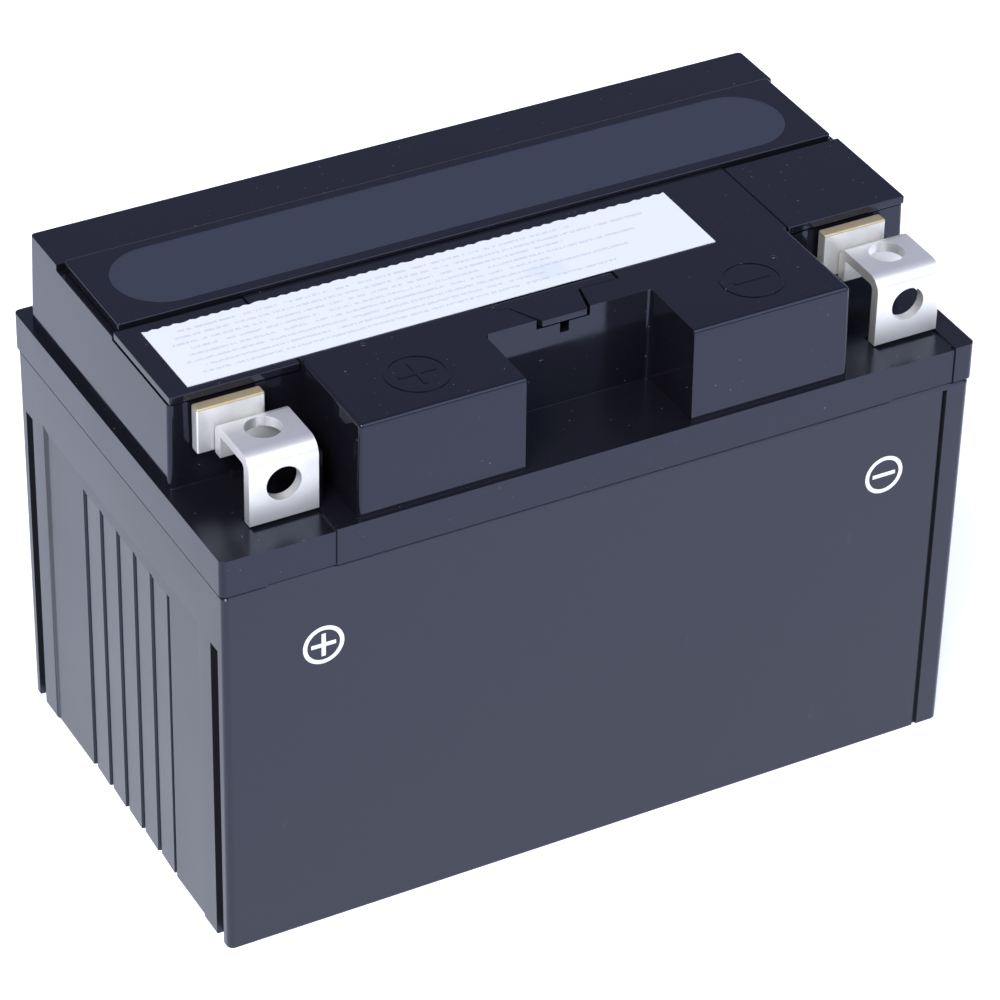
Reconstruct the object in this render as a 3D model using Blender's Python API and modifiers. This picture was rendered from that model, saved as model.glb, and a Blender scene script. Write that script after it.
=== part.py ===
"""Sealed 12 V motorcycle battery, modelled piece by piece in its own frame.

The origin is at the middle of the underside. +X runs along the length with the
negative terminal at +X, the terminals face -Y, and +Z is up. Lengths are metres.
"""
import math

import bmesh
import bpy
from mathutils import Matrix, Vector

MM = 0.001

# Overall size and the fit between touching pieces
LENGTH = 150 * MM
WIDTH = 87 * MM
HEIGHT = 105 * MM
FIT = 0.3 * MM
OVERSHOOT = 4 * MM

# Container: an open box with six cells in a row
CASE_TOP = 77.8 * MM
CASE_HALF_X = 74.6 * MM
CASE_HALF_Y = 43.0 * MM
CASE_DRAFT_X = 0.1 * MM
CASE_DRAFT_Y = 0.5 * MM
CASE_CORNER = 2.6 * MM
CASE_FOOT_EDGE = 1.0 * MM
CASE_FLOOR = 2.6 * MM
CELLS = 6
CELL_PITCH = 23.9 * MM
CELL_WIDTH = 22.3 * MM
CELL_HALF_DEPTH = 39.6 * MM
CELL_CORNER = 1.0 * MM
LINK_HOLE_RADIUS = 4.3 * MM
LINK_HEIGHT = 69.5 * MM
STRAP_OFFSET = 16 * MM

# Moulded relief on the container's walls
COLLAR_BOTTOM = 65.6 * MM
PANEL_DEPTH = 0.9 * MM
PANEL_HALF = 32.6 * MM
PANEL_SLOPE = 2.2 * MM
FLUTES = 6
FLUTE_PITCH = 7.1 * MM
FLUTE_REAR = 15.0 * MM
FLUTE_WIDTH = 1.4 * MM
FLUTE_DEPTH = 0.8 * MM
CORNER_GROOVE_Y = 39.2 * MM
CORNER_GROOVE_WIDTH = 3.0 * MM
CORNER_GROOVE_DEPTH = 1.5 * MM
FRONT_GROOVE_X = 69.3 * MM
FRONT_GROOVE_WIDTH = 1.1 * MM
FRONT_GROOVE_DEPTH = 0.7 * MM

# Lid: a flange on the container, and a raised body with two blocks in front
FLANGE_BOTTOM = CASE_TOP + FIT
FLANGE_TOP = 85.5 * MM
FLANGE_CORNER = 3.0 * MM
LID_TOP = 104.2 * MM
BODY_HALF_X = 72.4 * MM
BODY_REAR = 38.3 * MM
BODY_FRONT = -20.4 * MM
BODY_CORNER = 1.6 * MM
BLOCK_OUTER = 48.3 * MM
BLOCK_INNER = 16.5 * MM
BLOCK_FRONT = -42.2 * MM
NOTCH_REAR = -27.4 * MM
LIP_DROP = 1.8 * MM
LIP_REAR = -33.0 * MM
SKIRT_RECESS = 0.3 * MM
LID_WALL = 2.4 * MM
LID_ROOF = 98.0 * MM
HEADSPACE_TOP = 81.4 * MM

# Plug strip: one bar that carries the six filler plugs
STRIP_REAR = 26.4 * MM
STRIP_FRONT = 3.3 * MM
STRIP_UNDER = 103.3 * MM
STRIP_HALF_X = 72.2 * MM
STRIP_CORNER = 0.6 * MM
PLUG_Y = (STRIP_REAR + STRIP_FRONT) / 2
PLUG_RADIUS = 4.4 * MM
PLUG_GROOVE_RADIUS = 3.8 * MM
PLUG_BOTTOM = 93.0 * MM
PORT_RADIUS = 5.2 * MM
SEAL_LOW = 96.6 * MM
SEAL_HIGH = 98.4 * MM
SEAL_INNER = 4.0 * MM
SEAL_OUTER = 4.95 * MM
SEAL_EDGE = 0.25 * MM

# Terminals: a bent strap with two screw holes, on a riser that enters the lid
STRAP_WIDTH = 13.1 * MM
STRAP_METAL = 2.0 * MM
STRAP_TOP = 99.4 * MM
STRAP_FRONT = -36.5 * MM
STRAP_REAR = -23.8 * MM
STRAP_FRONT_FOOT = 85.7 * MM
STRAP_REAR_FOOT = 93.0 * MM
STRAP_BEND = 3.0 * MM
SCREW_RADIUS = 3.3 * MM
FRONT_HOLE_Z = 92.8 * MM
TOP_HOLE_Y = -28.6 * MM
POSITIVE_X = -59.7 * MM
NEGATIVE_X = 64.4 * MM
RISER_SHIFT = 3.3 * MM
RISER_WIDTH = 12.8 * MM
RISER_TOP = 102.3 * MM
RISER_FOOT = 93.2 * MM
RISER_FRONT = -23.5 * MM
RISER_REAR = -20.7 * MM
TONGUE_WIDTH = 7.0 * MM
TONGUE_LOW = 94.6 * MM
TONGUE_HIGH = 99.0 * MM
POLE_Y = -12.2 * MM
POLE_RADIUS = 3.6 * MM
POLE_FOOT = 73.3 * MM
WELL_FLOOR = 88.0 * MM
WELL_HALF = 7.0 * MM
WELL_REAR = -0.6 * MM
WELL_FRONT = -17.9 * MM
POLE_SEAL_RADIUS = 5.2 * MM
POLE_SEAL_HEIGHT = 2.4 * MM
COVER_UNDER = 102.6 * MM
STOP_RIB = 1.5 * MM
STOP_RIB_TOP = 95.4 * MM
STOP_RIB_FRONT = -34.2 * MM

# Relief valve under the vent cover, which opens into the gap between the blocks
VALVE_X = -4.6 * MM
VALVE_Y = -12.4 * MM
VALVE_WELL_RADIUS = 5.8 * MM
VALVE_WELL_FLOOR = 93.0 * MM
VALVE_TUBE_RADIUS = 2.8 * MM
VALVE_BORE = 1.4 * MM
VALVE_SEAT = 97.6 * MM
CAP_RADIUS = 4.3 * MM
CAP_WALL = 1.1 * MM
CAP_EDGE = 0.5 * MM
CAP_LOW = 94.4 * MM
CAP_TOP = 99.2 * MM
FILTER_RADIUS = 6.4 * MM
FILTER_LOW = 100.9 * MM
FILTER_TOP = 102.3 * MM
VENT_SLOT_X = -0.7 * MM
VENT_SLOT_WIDTH = 1.8 * MM
VENT_SLOT_LOW = 100.2 * MM
VENT_COVER_UNDER = 102.6 * MM
VENT_COVER_DROP = 0.15 * MM
VENT_COVER_REAR = -5.0 * MM
VENT_COVER_HALF = 13.0 * MM
VENT_TONGUE_LEFT = -5.3 * MM
VENT_TONGUE_RIGHT = 3.7 * MM
VENT_SHOULDER_LEFT = (-8.8 * MM, -25.0 * MM)
VENT_SHOULDER_RIGHT = (5.2 * MM, -22.4 * MM)
VENT_FLANK_LEFT = -19.0 * MM
VENT_FLANK_RIGHT = -20.8 * MM

# Printed paper label across the front half of the top
LABEL_LEFT = -69.0 * MM
LABEL_RIGHT = 34.4 * MM
LABEL_REAR = 0.1 * MM
LABEL_FRONT = -18.6 * MM
LABEL_GAP = 0.05 * MM
LABEL_PAPER = 0.15 * MM

# Plates and glass mats inside one cell
POSITIVE_PLATES = 3
NEGATIVE_PLATES = 4
PLATE = 1.5 * MM
PLATE_PITCH = 3.15 * MM
PLATE_HALF_DEPTH = 37.6 * MM
PLATE_FOOT = 4.6 * MM
PLATE_TOP = 61.0 * MM
LUG_HALF = 4.5 * MM
COMB_LOW = 66.0 * MM
COMB_HIGH = 73.0 * MM
COMB_HALF_X = 10.75 * MM
COMB_HALF_Y = 5.2 * MM
LINK_RADIUS = 3.8 * MM
MAT = 1.0 * MM
MAT_TOP = 63.0 * MM
MAT_HALF_DEPTH = 39.0 * MM
MAT_FLOOR = 1.0 * MM

ROUND_SEGMENTS = 24
SMALL_ROUND_SEGMENTS = 16
CORNER_SEGMENTS = 4


def clear_scene():
    """Removes every object of the open scene."""
    for leftover in list(bpy.context.scene.objects):
        bpy.data.objects.remove(leftover, do_unlink=True)


def add_collection(name):
    """A new collection, linked to the scene."""
    collection = bpy.data.collections.new(name)
    bpy.context.scene.collection.children.link(collection)
    return collection


def plain_material(name, colour, roughness, metallic=0.0):
    """A Principled material with one colour."""
    material = bpy.data.materials.new(name)
    material.use_nodes = True
    shader = material.node_tree.nodes["Principled BSDF"]
    shader.inputs["Base Color"].default_value = (*colour, 1.0)
    shader.inputs["Roughness"].default_value = roughness
    shader.inputs["Metallic"].default_value = metallic
    material.diffuse_color = (*colour, 1.0)
    return material


clear_scene()
PARTS = add_collection("motorcycle_battery")
CUTTERS = add_collection("cutters")

CASE_PLASTIC = plain_material("case_plastic", (0.016, 0.016, 0.020), 0.26)
LID_PLASTIC = plain_material("lid_plastic", (0.010, 0.010, 0.013), 0.12)
STRIP_PLASTIC = plain_material("strip_plastic", (0.013, 0.013, 0.017), 0.16)
PAPER = plain_material("label_paper", (0.82, 0.85, 0.90), 0.65)
TINNED = plain_material("tinned_metal", (0.72, 0.72, 0.70), 0.28, 1.0)
LEAD = plain_material("cast_lead", (0.36, 0.37, 0.39), 0.50, 1.0)
OXIDE = plain_material("lead_oxide_paste", (0.075, 0.045, 0.035), 0.85)
SPONGE = plain_material("sponge_lead_paste", (0.30, 0.31, 0.33), 0.70)
GLASS_MAT = plain_material("glass_mat", (0.86, 0.86, 0.84), 0.90)
RUBBER = plain_material("black_rubber", (0.025, 0.025, 0.026), 0.75)
RESIN = plain_material("potting_resin", (0.20, 0.022, 0.018), 0.30)
CERAMIC = plain_material("porous_ceramic", (0.78, 0.76, 0.70), 0.80)


def register_object(name, mesh, material, collection, place=(0.0, 0.0, 0.0)):
    """A mesh object in a collection, hidden from renders when it is a cutter."""
    item = bpy.data.objects.new(name, mesh)
    item.location = place
    collection.objects.link(item)
    if material is not None:
        mesh.materials.append(material)
    if collection is CUTTERS:
        item.hide_render = True
        item.display_type = "WIRE"
    return item


def finish_bmesh(work, name):
    """Turns a bmesh into a mesh and frees it."""
    bmesh.ops.recalc_face_normals(work, faces=work.faces)
    mesh = bpy.data.meshes.new(name)
    work.to_mesh(mesh)
    work.free()
    return mesh


def add_cube(work, low, high):
    """Adds a box between two corners to a bmesh and returns its vertices."""
    low = Vector(low)
    high = Vector(high)
    made = bmesh.ops.create_cube(work, size=1.0)["verts"]
    bmesh.ops.scale(work, verts=made, vec=high - low)
    bmesh.ops.translate(work, verts=made, vec=(high + low) / 2)
    return made


def bevel_edges(work, chosen, radius, segments):
    """Rounds the chosen edges of a bmesh."""
    bmesh.ops.bevel(work, geom=chosen, offset=radius, segments=segments, profile=0.5,
                    affect="EDGES", clamp_overlap=True)


def upright_edges(work):
    """The edges that run along Z."""
    upright = []
    for edge in work.edges:
        start, end = (corner.co for corner in edge.verts)
        if abs(start.z - end.z) > MM and (start.xy - end.xy).length < MM:
            upright.append(edge)
    return upright


def box(name, low, high, material=None, collection=CUTTERS, corner=0.0, corner_segments=CORNER_SEGMENTS):
    """A box between two corners, with its upright edges rounded when asked."""
    work = bmesh.new()
    add_cube(work, low, high)
    if corner > 0:
        bevel_edges(work, upright_edges(work), corner, corner_segments)
    return register_object(name, finish_bmesh(work, name), material, collection)


def boxes(name, corners):
    """Several separate boxes in one cutter."""
    work = bmesh.new()
    for low, high in corners:
        add_cube(work, low, high)
    return register_object(name, finish_bmesh(work, name), None, CUTTERS)


def frustum(name, low, high, axis, taper):
    """A box whose face at the low end of an axis is smaller all round by taper."""
    work = bmesh.new()
    made = add_cube(work, low, high)
    middle = (Vector(low) + Vector(high)) / 2
    for corner in made:
        if corner.co[axis] > middle[axis]:
            continue
        for other in range(3):
            if other != axis:
                corner.co[other] -= math.copysign(taper, corner.co[other] - middle[other])
    return register_object(name, finish_bmesh(work, name), None, CUTTERS)


def add_rod(work, centre, radius, low, high, segments=ROUND_SEGMENTS, axis="Z"):
    """Adds a closed cylinder between two heights on its own axis."""
    made = bmesh.ops.create_cone(work, cap_ends=True, segments=segments, radius1=radius, radius2=radius,
                                 depth=high - low)["verts"]
    middle = Vector((centre[0], centre[1], (high + low) / 2))
    if axis == "Y":
        turn = Matrix.Rotation(math.radians(90), 3, "X")
        bmesh.ops.rotate(work, verts=made, matrix=turn)
        middle = Vector((centre[0], (high + low) / 2, centre[1]))
    if axis == "X":
        turn = Matrix.Rotation(math.radians(90), 3, "Y")
        bmesh.ops.rotate(work, verts=made, matrix=turn)
        middle = Vector(((high + low) / 2, centre[0], centre[1]))
    bmesh.ops.translate(work, verts=made, vec=middle)


def rods(name, places, radius, low, high, segments=ROUND_SEGMENTS, axis="Z"):
    """Equal parallel cylinders in one cutter; places are their centres across the axis."""
    work = bmesh.new()
    for centre in places:
        add_rod(work, centre, radius, low, high, segments, axis)
    return register_object(name, finish_bmesh(work, name), None, CUTTERS)


def combine(target, tool, operation):
    """Cuts or joins a target with a tool through a Boolean modifier."""
    step = target.modifiers.new(operation.lower() + "_" + tool.name, "BOOLEAN")
    step.operation = operation
    step.object = tool
    step.solver = "EXACT"


def cut(target, tool):
    """Takes the tool's volume out of the target."""
    combine(target, tool, "DIFFERENCE")


def join(target, tool):
    """Adds the tool's volume to the target."""
    combine(target, tool, "UNION")


def smooth_round(mesh, limit=35):
    """Shades a mesh smooth, and keeps its corners sharp."""
    mesh.shade_smooth()
    mesh.set_sharp_from_angle(angle=math.radians(limit))


def turned(name, outline, material, place, segments=ROUND_SEGMENTS):
    """A turned ring or cup; the outline holds (radius, height) from top to bottom outside."""
    mesh = bpy.data.meshes.new(name)
    item = register_object(name, mesh, material, PARTS, place)
    count = len(outline)
    edges = [(index, index + 1) for index in range(count - 1)]
    if outline[0][0] > 0:
        edges.append((count - 1, 0))
    mesh.from_pydata([(radius, 0.0, height) for radius, height in outline], edges, [])
    screw = item.modifiers.new("turn", "SCREW")
    screw.steps = segments
    screw.render_steps = segments
    screw.use_merge_vertices = True
    screw.merge_threshold = 0.00001
    screw.use_smooth_shade = True
    return item


def extruded_outline(name, points, thickness, material, collection, turn, place):
    """A flat outline given thickness, made a mesh, then turned and placed."""
    curve = bpy.data.curves.new(name + "_outline", "CURVE")
    curve.dimensions = "2D"
    curve.fill_mode = "BOTH"
    curve.extrude = thickness / 2
    spline = curve.splines.new("POLY")
    spline.points.add(len(points) - 1)
    for point, (across, up) in zip(spline.points, points):
        point.co = (across, up, 0.0, 1.0)
    spline.use_cyclic_u = True
    holder = bpy.data.objects.new(name + "_outline", curve)
    holder.matrix_world = Matrix.Translation(place) @ turn.to_4x4()
    PARTS.objects.link(holder)
    bpy.context.view_layer.update()
    evaluated = holder.evaluated_get(bpy.context.evaluated_depsgraph_get())
    mesh = bpy.data.meshes.new_from_object(evaluated)
    matrix = holder.matrix_world.copy()
    bpy.data.objects.remove(holder, do_unlink=True)
    work = bmesh.new()
    work.from_mesh(mesh)
    bmesh.ops.remove_doubles(work, verts=work.verts, dist=0.00001)
    bmesh.ops.dissolve_limit(work, angle_limit=math.radians(0.5), verts=work.verts, edges=work.edges)
    bmesh.ops.recalc_face_normals(work, faces=work.faces)
    work.to_mesh(mesh)
    work.free()
    mesh.name = name
    item = register_object(name, mesh, material, collection)
    item.matrix_world = matrix
    return item


def arc(centre, radius, start, end, steps=6):
    """Points on a circular arc, with angles in degrees."""
    points = []
    for index in range(steps + 1):
        angle = math.radians(start + (end - start) * index / steps)
        points.append((centre[0] + radius * math.cos(angle), centre[1] + radius * math.sin(angle)))
    return points


def cell_centres():
    """The X of each cell's middle, from the positive end."""
    return [(index - (CELLS - 1) / 2) * CELL_PITCH for index in range(CELLS)]


def partition_centres():
    """The X of each partition between two cells."""
    return [(index - (CELLS - 2) / 2) * CELL_PITCH for index in range(CELLS - 1)]


def link_side(index):
    """Which side in Y a cell's negative comb lies on; it swaps from cell to cell."""
    return 1 if index % 2 == 0 else -1


def build_container():
    """The open case with five partitions, end panels, flutes and grooves."""
    work = bmesh.new()
    add_cube(work, (-CASE_HALF_X, -CASE_HALF_Y, 0), (CASE_HALF_X, CASE_HALF_Y, CASE_TOP))
    for corner in work.verts:
        if corner.co.z < MM:
            corner.co.x -= math.copysign(CASE_DRAFT_X, corner.co.x)
            corner.co.y -= math.copysign(CASE_DRAFT_Y, corner.co.y)
    bevel_edges(work, upright_edges(work), CASE_CORNER, CORNER_SEGMENTS)
    foot = [edge for edge in work.edges if all(end.co.z < MM for end in edge.verts)]
    bevel_edges(work, foot, CASE_FOOT_EDGE, 2)
    case = register_object("container", finish_bmesh(work, "container"), CASE_PLASTIC, PARTS)

    for index, centre in enumerate(cell_centres()):
        low = (centre - CELL_WIDTH / 2, -CELL_HALF_DEPTH, CASE_FLOOR)
        high = (centre + CELL_WIDTH / 2, CELL_HALF_DEPTH, CASE_TOP + OVERSHOOT)
        cut(case, box("cell_cutter_%d" % (index + 1), low, high, corner=CELL_CORNER, corner_segments=2))
    for index, middle in enumerate(partition_centres()):
        hole = rods("link_hole_%d" % (index + 1), [(link_side(index) * STRAP_OFFSET, LINK_HEIGHT)],
                    LINK_HOLE_RADIUS, middle - CELL_PITCH / 4, middle + CELL_PITCH / 4,
                    SMALL_ROUND_SEGMENTS, "X")
        cut(case, hole)

    for end in (-1, 1):
        outside = CASE_HALF_X + OVERSHOOT
        near = CASE_HALF_X - CASE_DRAFT_X - PANEL_DEPTH
        panel_reach = PANEL_HALF + PANEL_SLOPE * 2
        panel = frustum("end_panel_%d" % end, (near, -panel_reach, -panel_reach),
                        (outside, panel_reach, COLLAR_BOTTOM + PANEL_SLOPE), 0, PANEL_SLOPE)
        if end < 0:
            panel.rotation_euler.z = math.pi
        cut(case, panel)
        flutes = []
        for index in range(FLUTES):
            middle = FLUTE_REAR - index * FLUTE_PITCH
            depth_at = near - FLUTE_DEPTH
            edges = sorted((end * depth_at, end * outside))
            flutes.append(((edges[0], middle - FLUTE_WIDTH / 2, -OVERSHOOT),
                           (edges[1], middle + FLUTE_WIDTH / 2, COLLAR_BOTTOM - MM)))
        for side in (-1, 1):
            middle = side * CORNER_GROOVE_Y
            edges = sorted((end * (CASE_HALF_X - CASE_DRAFT_X - CORNER_GROOVE_DEPTH), end * outside))
            flutes.append(((edges[0], middle - CORNER_GROOVE_WIDTH / 2, -OVERSHOOT),
                           (edges[1], middle + CORNER_GROOVE_WIDTH / 2, COLLAR_BOTTOM)))
        cut(case, boxes("end_grooves_%d" % end, flutes))
    groove_bottom = -CASE_HALF_Y + CASE_DRAFT_Y + FRONT_GROOVE_DEPTH
    cut(case, box("front_groove", (FRONT_GROOVE_X - FRONT_GROOVE_WIDTH / 2, -WIDTH, -OVERSHOOT),
                  (FRONT_GROOVE_X + FRONT_GROOVE_WIDTH / 2, groove_bottom, CASE_TOP - MM)))


def terminal_recess(centre):
    """Lowers the flange's lip in front of one terminal, and marks its skirt."""
    half = STRAP_WIDTH / 2 + FIT
    lip = ((centre - half, -WIDTH, FLANGE_TOP - LIP_DROP), (centre + half, LIP_REAR, FLANGE_TOP + OVERSHOOT))
    skirt = ((centre - half, -WIDTH, FLANGE_BOTTOM - OVERSHOOT),
             (centre + half, -WIDTH / 2 + SKIRT_RECESS, FLANGE_TOP))
    return lip, skirt


def lid_cavities():
    """The spaces moulded into the lid's underside above the cells."""
    spaces = []
    below = FLANGE_BOTTOM - OVERSHOOT
    half = CELL_PITCH / 2 - LID_WALL / 2
    flange_depth = WIDTH / 2 - LID_WALL
    for index, centre in enumerate(cell_centres()):
        left = max(centre - half, -BODY_HALF_X + LID_WALL)
        right = min(centre + half, BODY_HALF_X - LID_WALL)
        spaces.append(((left, -flange_depth, below), (right, flange_depth, HEADSPACE_TOP)))
        spaces.append(((left, STRIP_FRONT + LID_WALL, HEADSPACE_TOP - MM),
                       (right, BODY_REAR - LID_WALL, LID_ROOF)))
    return spaces


def block_cavities():
    """The spaces inside the two front blocks and beside the valve well."""
    spaces = []
    roof = LID_TOP - LID_WALL
    for side in (-1, 1):
        outer = side * (BLOCK_OUTER - LID_WALL)
        inner = side * (CELL_PITCH + LID_WALL / 2)
        low_x, high_x = sorted((outer, inner))
        spaces.append(((low_x, BLOCK_FRONT + LID_WALL, HEADSPACE_TOP - MM),
                       (high_x, BODY_FRONT, roof)))
        near = side * (CELL_PITCH - LID_WALL / 2)
        far = side * (VALVE_WELL_RADIUS + LID_WALL + abs(VALVE_X))
        low_x, high_x = sorted((near, far))
        spaces.append(((low_x, NOTCH_REAR + LID_WALL, HEADSPACE_TOP - MM),
                       (high_x, -LID_WALL / 2, roof - LID_WALL / 2)))
    return spaces


def terminal_centres():
    """Name, strap middle and riser middle of both terminals."""
    return (("positive", POSITIVE_X, POSITIVE_X - RISER_SHIFT),
            ("negative", NEGATIVE_X, NEGATIVE_X - RISER_SHIFT))


def build_lid():
    """The one-piece lid: flange, raised body, blocks, wells, ports and hollows."""
    lid = box("lid", (-LENGTH / 2, -WIDTH / 2, FLANGE_BOTTOM), (LENGTH / 2, WIDTH / 2, FLANGE_TOP),
              LID_PLASTIC, PARTS, FLANGE_CORNER)
    root = FLANGE_TOP - 2 * MM
    join(lid, box("lid_body", (-BODY_HALF_X, BODY_FRONT, root), (BODY_HALF_X, BODY_REAR, LID_TOP),
                  corner=BODY_CORNER, corner_segments=2))
    join(lid, box("lid_blocks", (-BLOCK_OUTER, BLOCK_FRONT, root), (BLOCK_OUTER, BODY_FRONT + MM, LID_TOP),
                  corner=BODY_CORNER / 2, corner_segments=2))
    rib_left = POSITIVE_X + STRAP_WIDTH / 2 + FIT
    join(lid, box("stop_rib", (rib_left, STOP_RIB_FRONT, root),
                  (rib_left + STOP_RIB, BODY_FRONT + MM, STOP_RIB_TOP)))

    trims = [((-BLOCK_INNER, -WIDTH, FLANGE_TOP), (BLOCK_INNER, NOTCH_REAR, HEIGHT + OVERSHOOT)),
             ((-LENGTH, STRIP_FRONT - FIT, STRIP_UNDER - FIT), (LENGTH, STRIP_REAR + FIT, HEIGHT + OVERSHOOT))]
    cut(lid, boxes("notch_and_strip_seat", trims))
    recesses = [terminal_recess(strap_middle) for _, strap_middle, _ in terminal_centres()]
    cut(lid, boxes("terminal_lips", [lip for lip, _ in recesses]))
    cut(lid, boxes("terminal_skirts", [skirt for _, skirt in recesses]))
    cut(lid, boxes("cell_headspace", lid_cavities()[0::2]))
    cut(lid, boxes("port_headspace", lid_cavities()[1::2]))
    cut(lid, boxes("block_headspace", block_cavities()))

    ports = [(centre, PLUG_Y) for centre in cell_centres()]
    cut(lid, rods("plug_ports", ports, PORT_RADIUS, LID_ROOF - OVERSHOOT, STRIP_UNDER + OVERSHOOT))

    wells = []
    slots = []
    seats = []
    poles = []
    for _, strap_middle, riser_middle in terminal_centres():
        side = math.copysign(1, strap_middle)
        wells.append(((riser_middle - WELL_HALF, WELL_FRONT, WELL_FLOOR),
                      (riser_middle + WELL_HALF, WELL_REAR, HEIGHT)))
        half = TONGUE_WIDTH / 2 + FIT
        slots.append(((riser_middle - half, BODY_FRONT - MM, TONGUE_LOW - FIT),
                      (riser_middle + half, WELL_FRONT + MM, TONGUE_HIGH + FIT)))
        edges = sorted((side * BLOCK_OUTER, side * LENGTH))
        seats.append(((edges[0], BODY_FRONT - MM, COVER_UNDER - FIT),
                      (edges[1], STRIP_FRONT, HEIGHT)))
        poles.append((riser_middle, POLE_Y))
    cut(lid, boxes("terminal_cover_seats", seats))
    cut(lid, boxes("terminal_wells", wells))
    cut(lid, boxes("tongue_slots", slots))
    cut(lid, rods("pole_holes", poles, POLE_RADIUS + FIT, HEADSPACE_TOP - OVERSHOOT, WELL_FLOOR + OVERSHOOT,
                  SMALL_ROUND_SEGMENTS))

    cut(lid, vent_cover_shape("vent_cover_seat", None, CUTTERS, VENT_COVER_UNDER - FIT, HEIGHT, FIT))
    well = rods("valve_well", [(VALVE_X, VALVE_Y)], VALVE_WELL_RADIUS, VALVE_WELL_FLOOR, HEIGHT)
    cut(well, rods("valve_tube", [(VALVE_X, VALVE_Y)], VALVE_TUBE_RADIUS, VALVE_WELL_FLOOR - MM, VALVE_SEAT))
    cut(lid, well)
    cut(lid, rods("valve_bore", [(VALVE_X, VALVE_Y)], VALVE_BORE, HEADSPACE_TOP - OVERSHOOT,
                  VALVE_SEAT + OVERSHOOT, SMALL_ROUND_SEGMENTS))
    cut(lid, rods("filter_seat", [(VALVE_X, VALVE_Y)], FILTER_RADIUS + FIT, FILTER_LOW - FIT, HEIGHT))
    cut(lid, box("vent_slot", (VENT_SLOT_X - VENT_SLOT_WIDTH / 2, NOTCH_REAR - MM, VENT_SLOT_LOW),
                 (VENT_SLOT_X + VENT_SLOT_WIDTH / 2, VALVE_Y, HEIGHT)))


def vent_cover_shape(name, material, collection, low, high, grow):
    """The vent cover's outline: a wide plate that narrows to a tongue at the gap."""
    front = NOTCH_REAR + FIT - grow
    if collection is CUTTERS:
        front = NOTCH_REAR - MM
    rear = VENT_COVER_REAR + grow
    half = VENT_COVER_HALF + grow
    points = [(VENT_TONGUE_LEFT - grow, front), (VENT_TONGUE_RIGHT + grow, front),
              (VENT_SHOULDER_RIGHT[0] + grow, VENT_SHOULDER_RIGHT[1]), (half, VENT_FLANK_RIGHT),
              (half, rear), (-half, rear), (-half, VENT_FLANK_LEFT),
              (VENT_SHOULDER_LEFT[0] - grow, VENT_SHOULDER_LEFT[1])]
    place = Vector((0.0, 0.0, (low + high) / 2))
    return extruded_outline(name, points, high - low, material, collection, Matrix.Identity(3), place)


def build_plug_strip():
    """The strip with six plugs, and a rubber ring on each plug."""
    strip = box("plug_strip", (-STRIP_HALF_X, STRIP_FRONT, STRIP_UNDER), (STRIP_HALF_X, STRIP_REAR, HEIGHT),
                STRIP_PLASTIC, PARTS, STRIP_CORNER, 2)
    centres = [(middle, PLUG_Y) for middle in cell_centres()]
    join(strip, rods("strip_plugs", centres, PLUG_RADIUS, PLUG_BOTTOM, STRIP_UNDER + MM))
    ring = []
    for name, radius in (("outer", PLUG_RADIUS + MM), ("inner", PLUG_GROOVE_RADIUS)):
        ring.append(rods("plug_groove_" + name, centres, radius, SEAL_LOW - FIT / 2, SEAL_HIGH + FIT / 2))
    cut(ring[0], ring[1])
    cut(strip, ring[0])
    half = (SEAL_HIGH - SEAL_LOW) / 2
    low_edge = SEAL_EDGE - half
    outline = [(SEAL_INNER, half), (SEAL_OUTER - SEAL_EDGE, half), (SEAL_OUTER, half - SEAL_EDGE),
               (SEAL_OUTER, low_edge), (SEAL_OUTER - SEAL_EDGE, -half), (SEAL_INNER, -half)]
    for index, centre in enumerate(cell_centres()):
        turned("plug_seal_%d" % (index + 1), outline, RUBBER, (centre, PLUG_Y, SEAL_LOW + half))


def build_valve():
    """The rubber cap on its seat, the flame filter above it, and the cover plate."""
    cap = [(0.0, 0.0), (CAP_RADIUS - CAP_EDGE, 0.0), (CAP_RADIUS, -CAP_EDGE),
           (CAP_RADIUS, CAP_LOW - CAP_TOP), (CAP_RADIUS - CAP_WALL, CAP_LOW - CAP_TOP),
           (CAP_RADIUS - CAP_WALL, VALVE_SEAT + FIT - CAP_TOP), (0.0, VALVE_SEAT + FIT - CAP_TOP)]
    turned("relief_valve_cap", cap, RUBBER, (VALVE_X, VALVE_Y, CAP_TOP))
    height = FILTER_TOP - FILTER_LOW
    disc = [(0.0, height), (FILTER_RADIUS, height), (FILTER_RADIUS, 0.0), (0.0, 0.0)]
    turned("flame_filter", disc, CERAMIC, (VALVE_X, VALVE_Y, FILTER_LOW))
    vent_cover_shape("vent_cover", LID_PLASTIC, PARTS, VENT_COVER_UNDER, LID_TOP - VENT_COVER_DROP, 0.0)


def strap_outline():
    """The side outline of the bent terminal strap, in (Y, Z)."""
    inner = STRAP_BEND - STRAP_METAL
    front_bend = (STRAP_FRONT + STRAP_BEND, STRAP_TOP - STRAP_BEND)
    rear_bend = (STRAP_REAR - STRAP_BEND, STRAP_TOP - STRAP_BEND)
    points = [(STRAP_FRONT, STRAP_FRONT_FOOT), (STRAP_FRONT + STRAP_METAL, STRAP_FRONT_FOOT)]
    points += arc(front_bend, inner, 180, 90)
    points += arc(rear_bend, inner, 90, 0)
    points += [(STRAP_REAR - STRAP_METAL, STRAP_REAR_FOOT), (STRAP_REAR, STRAP_REAR_FOOT)]
    points += arc(rear_bend, STRAP_BEND, 0, 90)
    points += arc(front_bend, STRAP_BEND, 90, 180)
    return points


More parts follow.
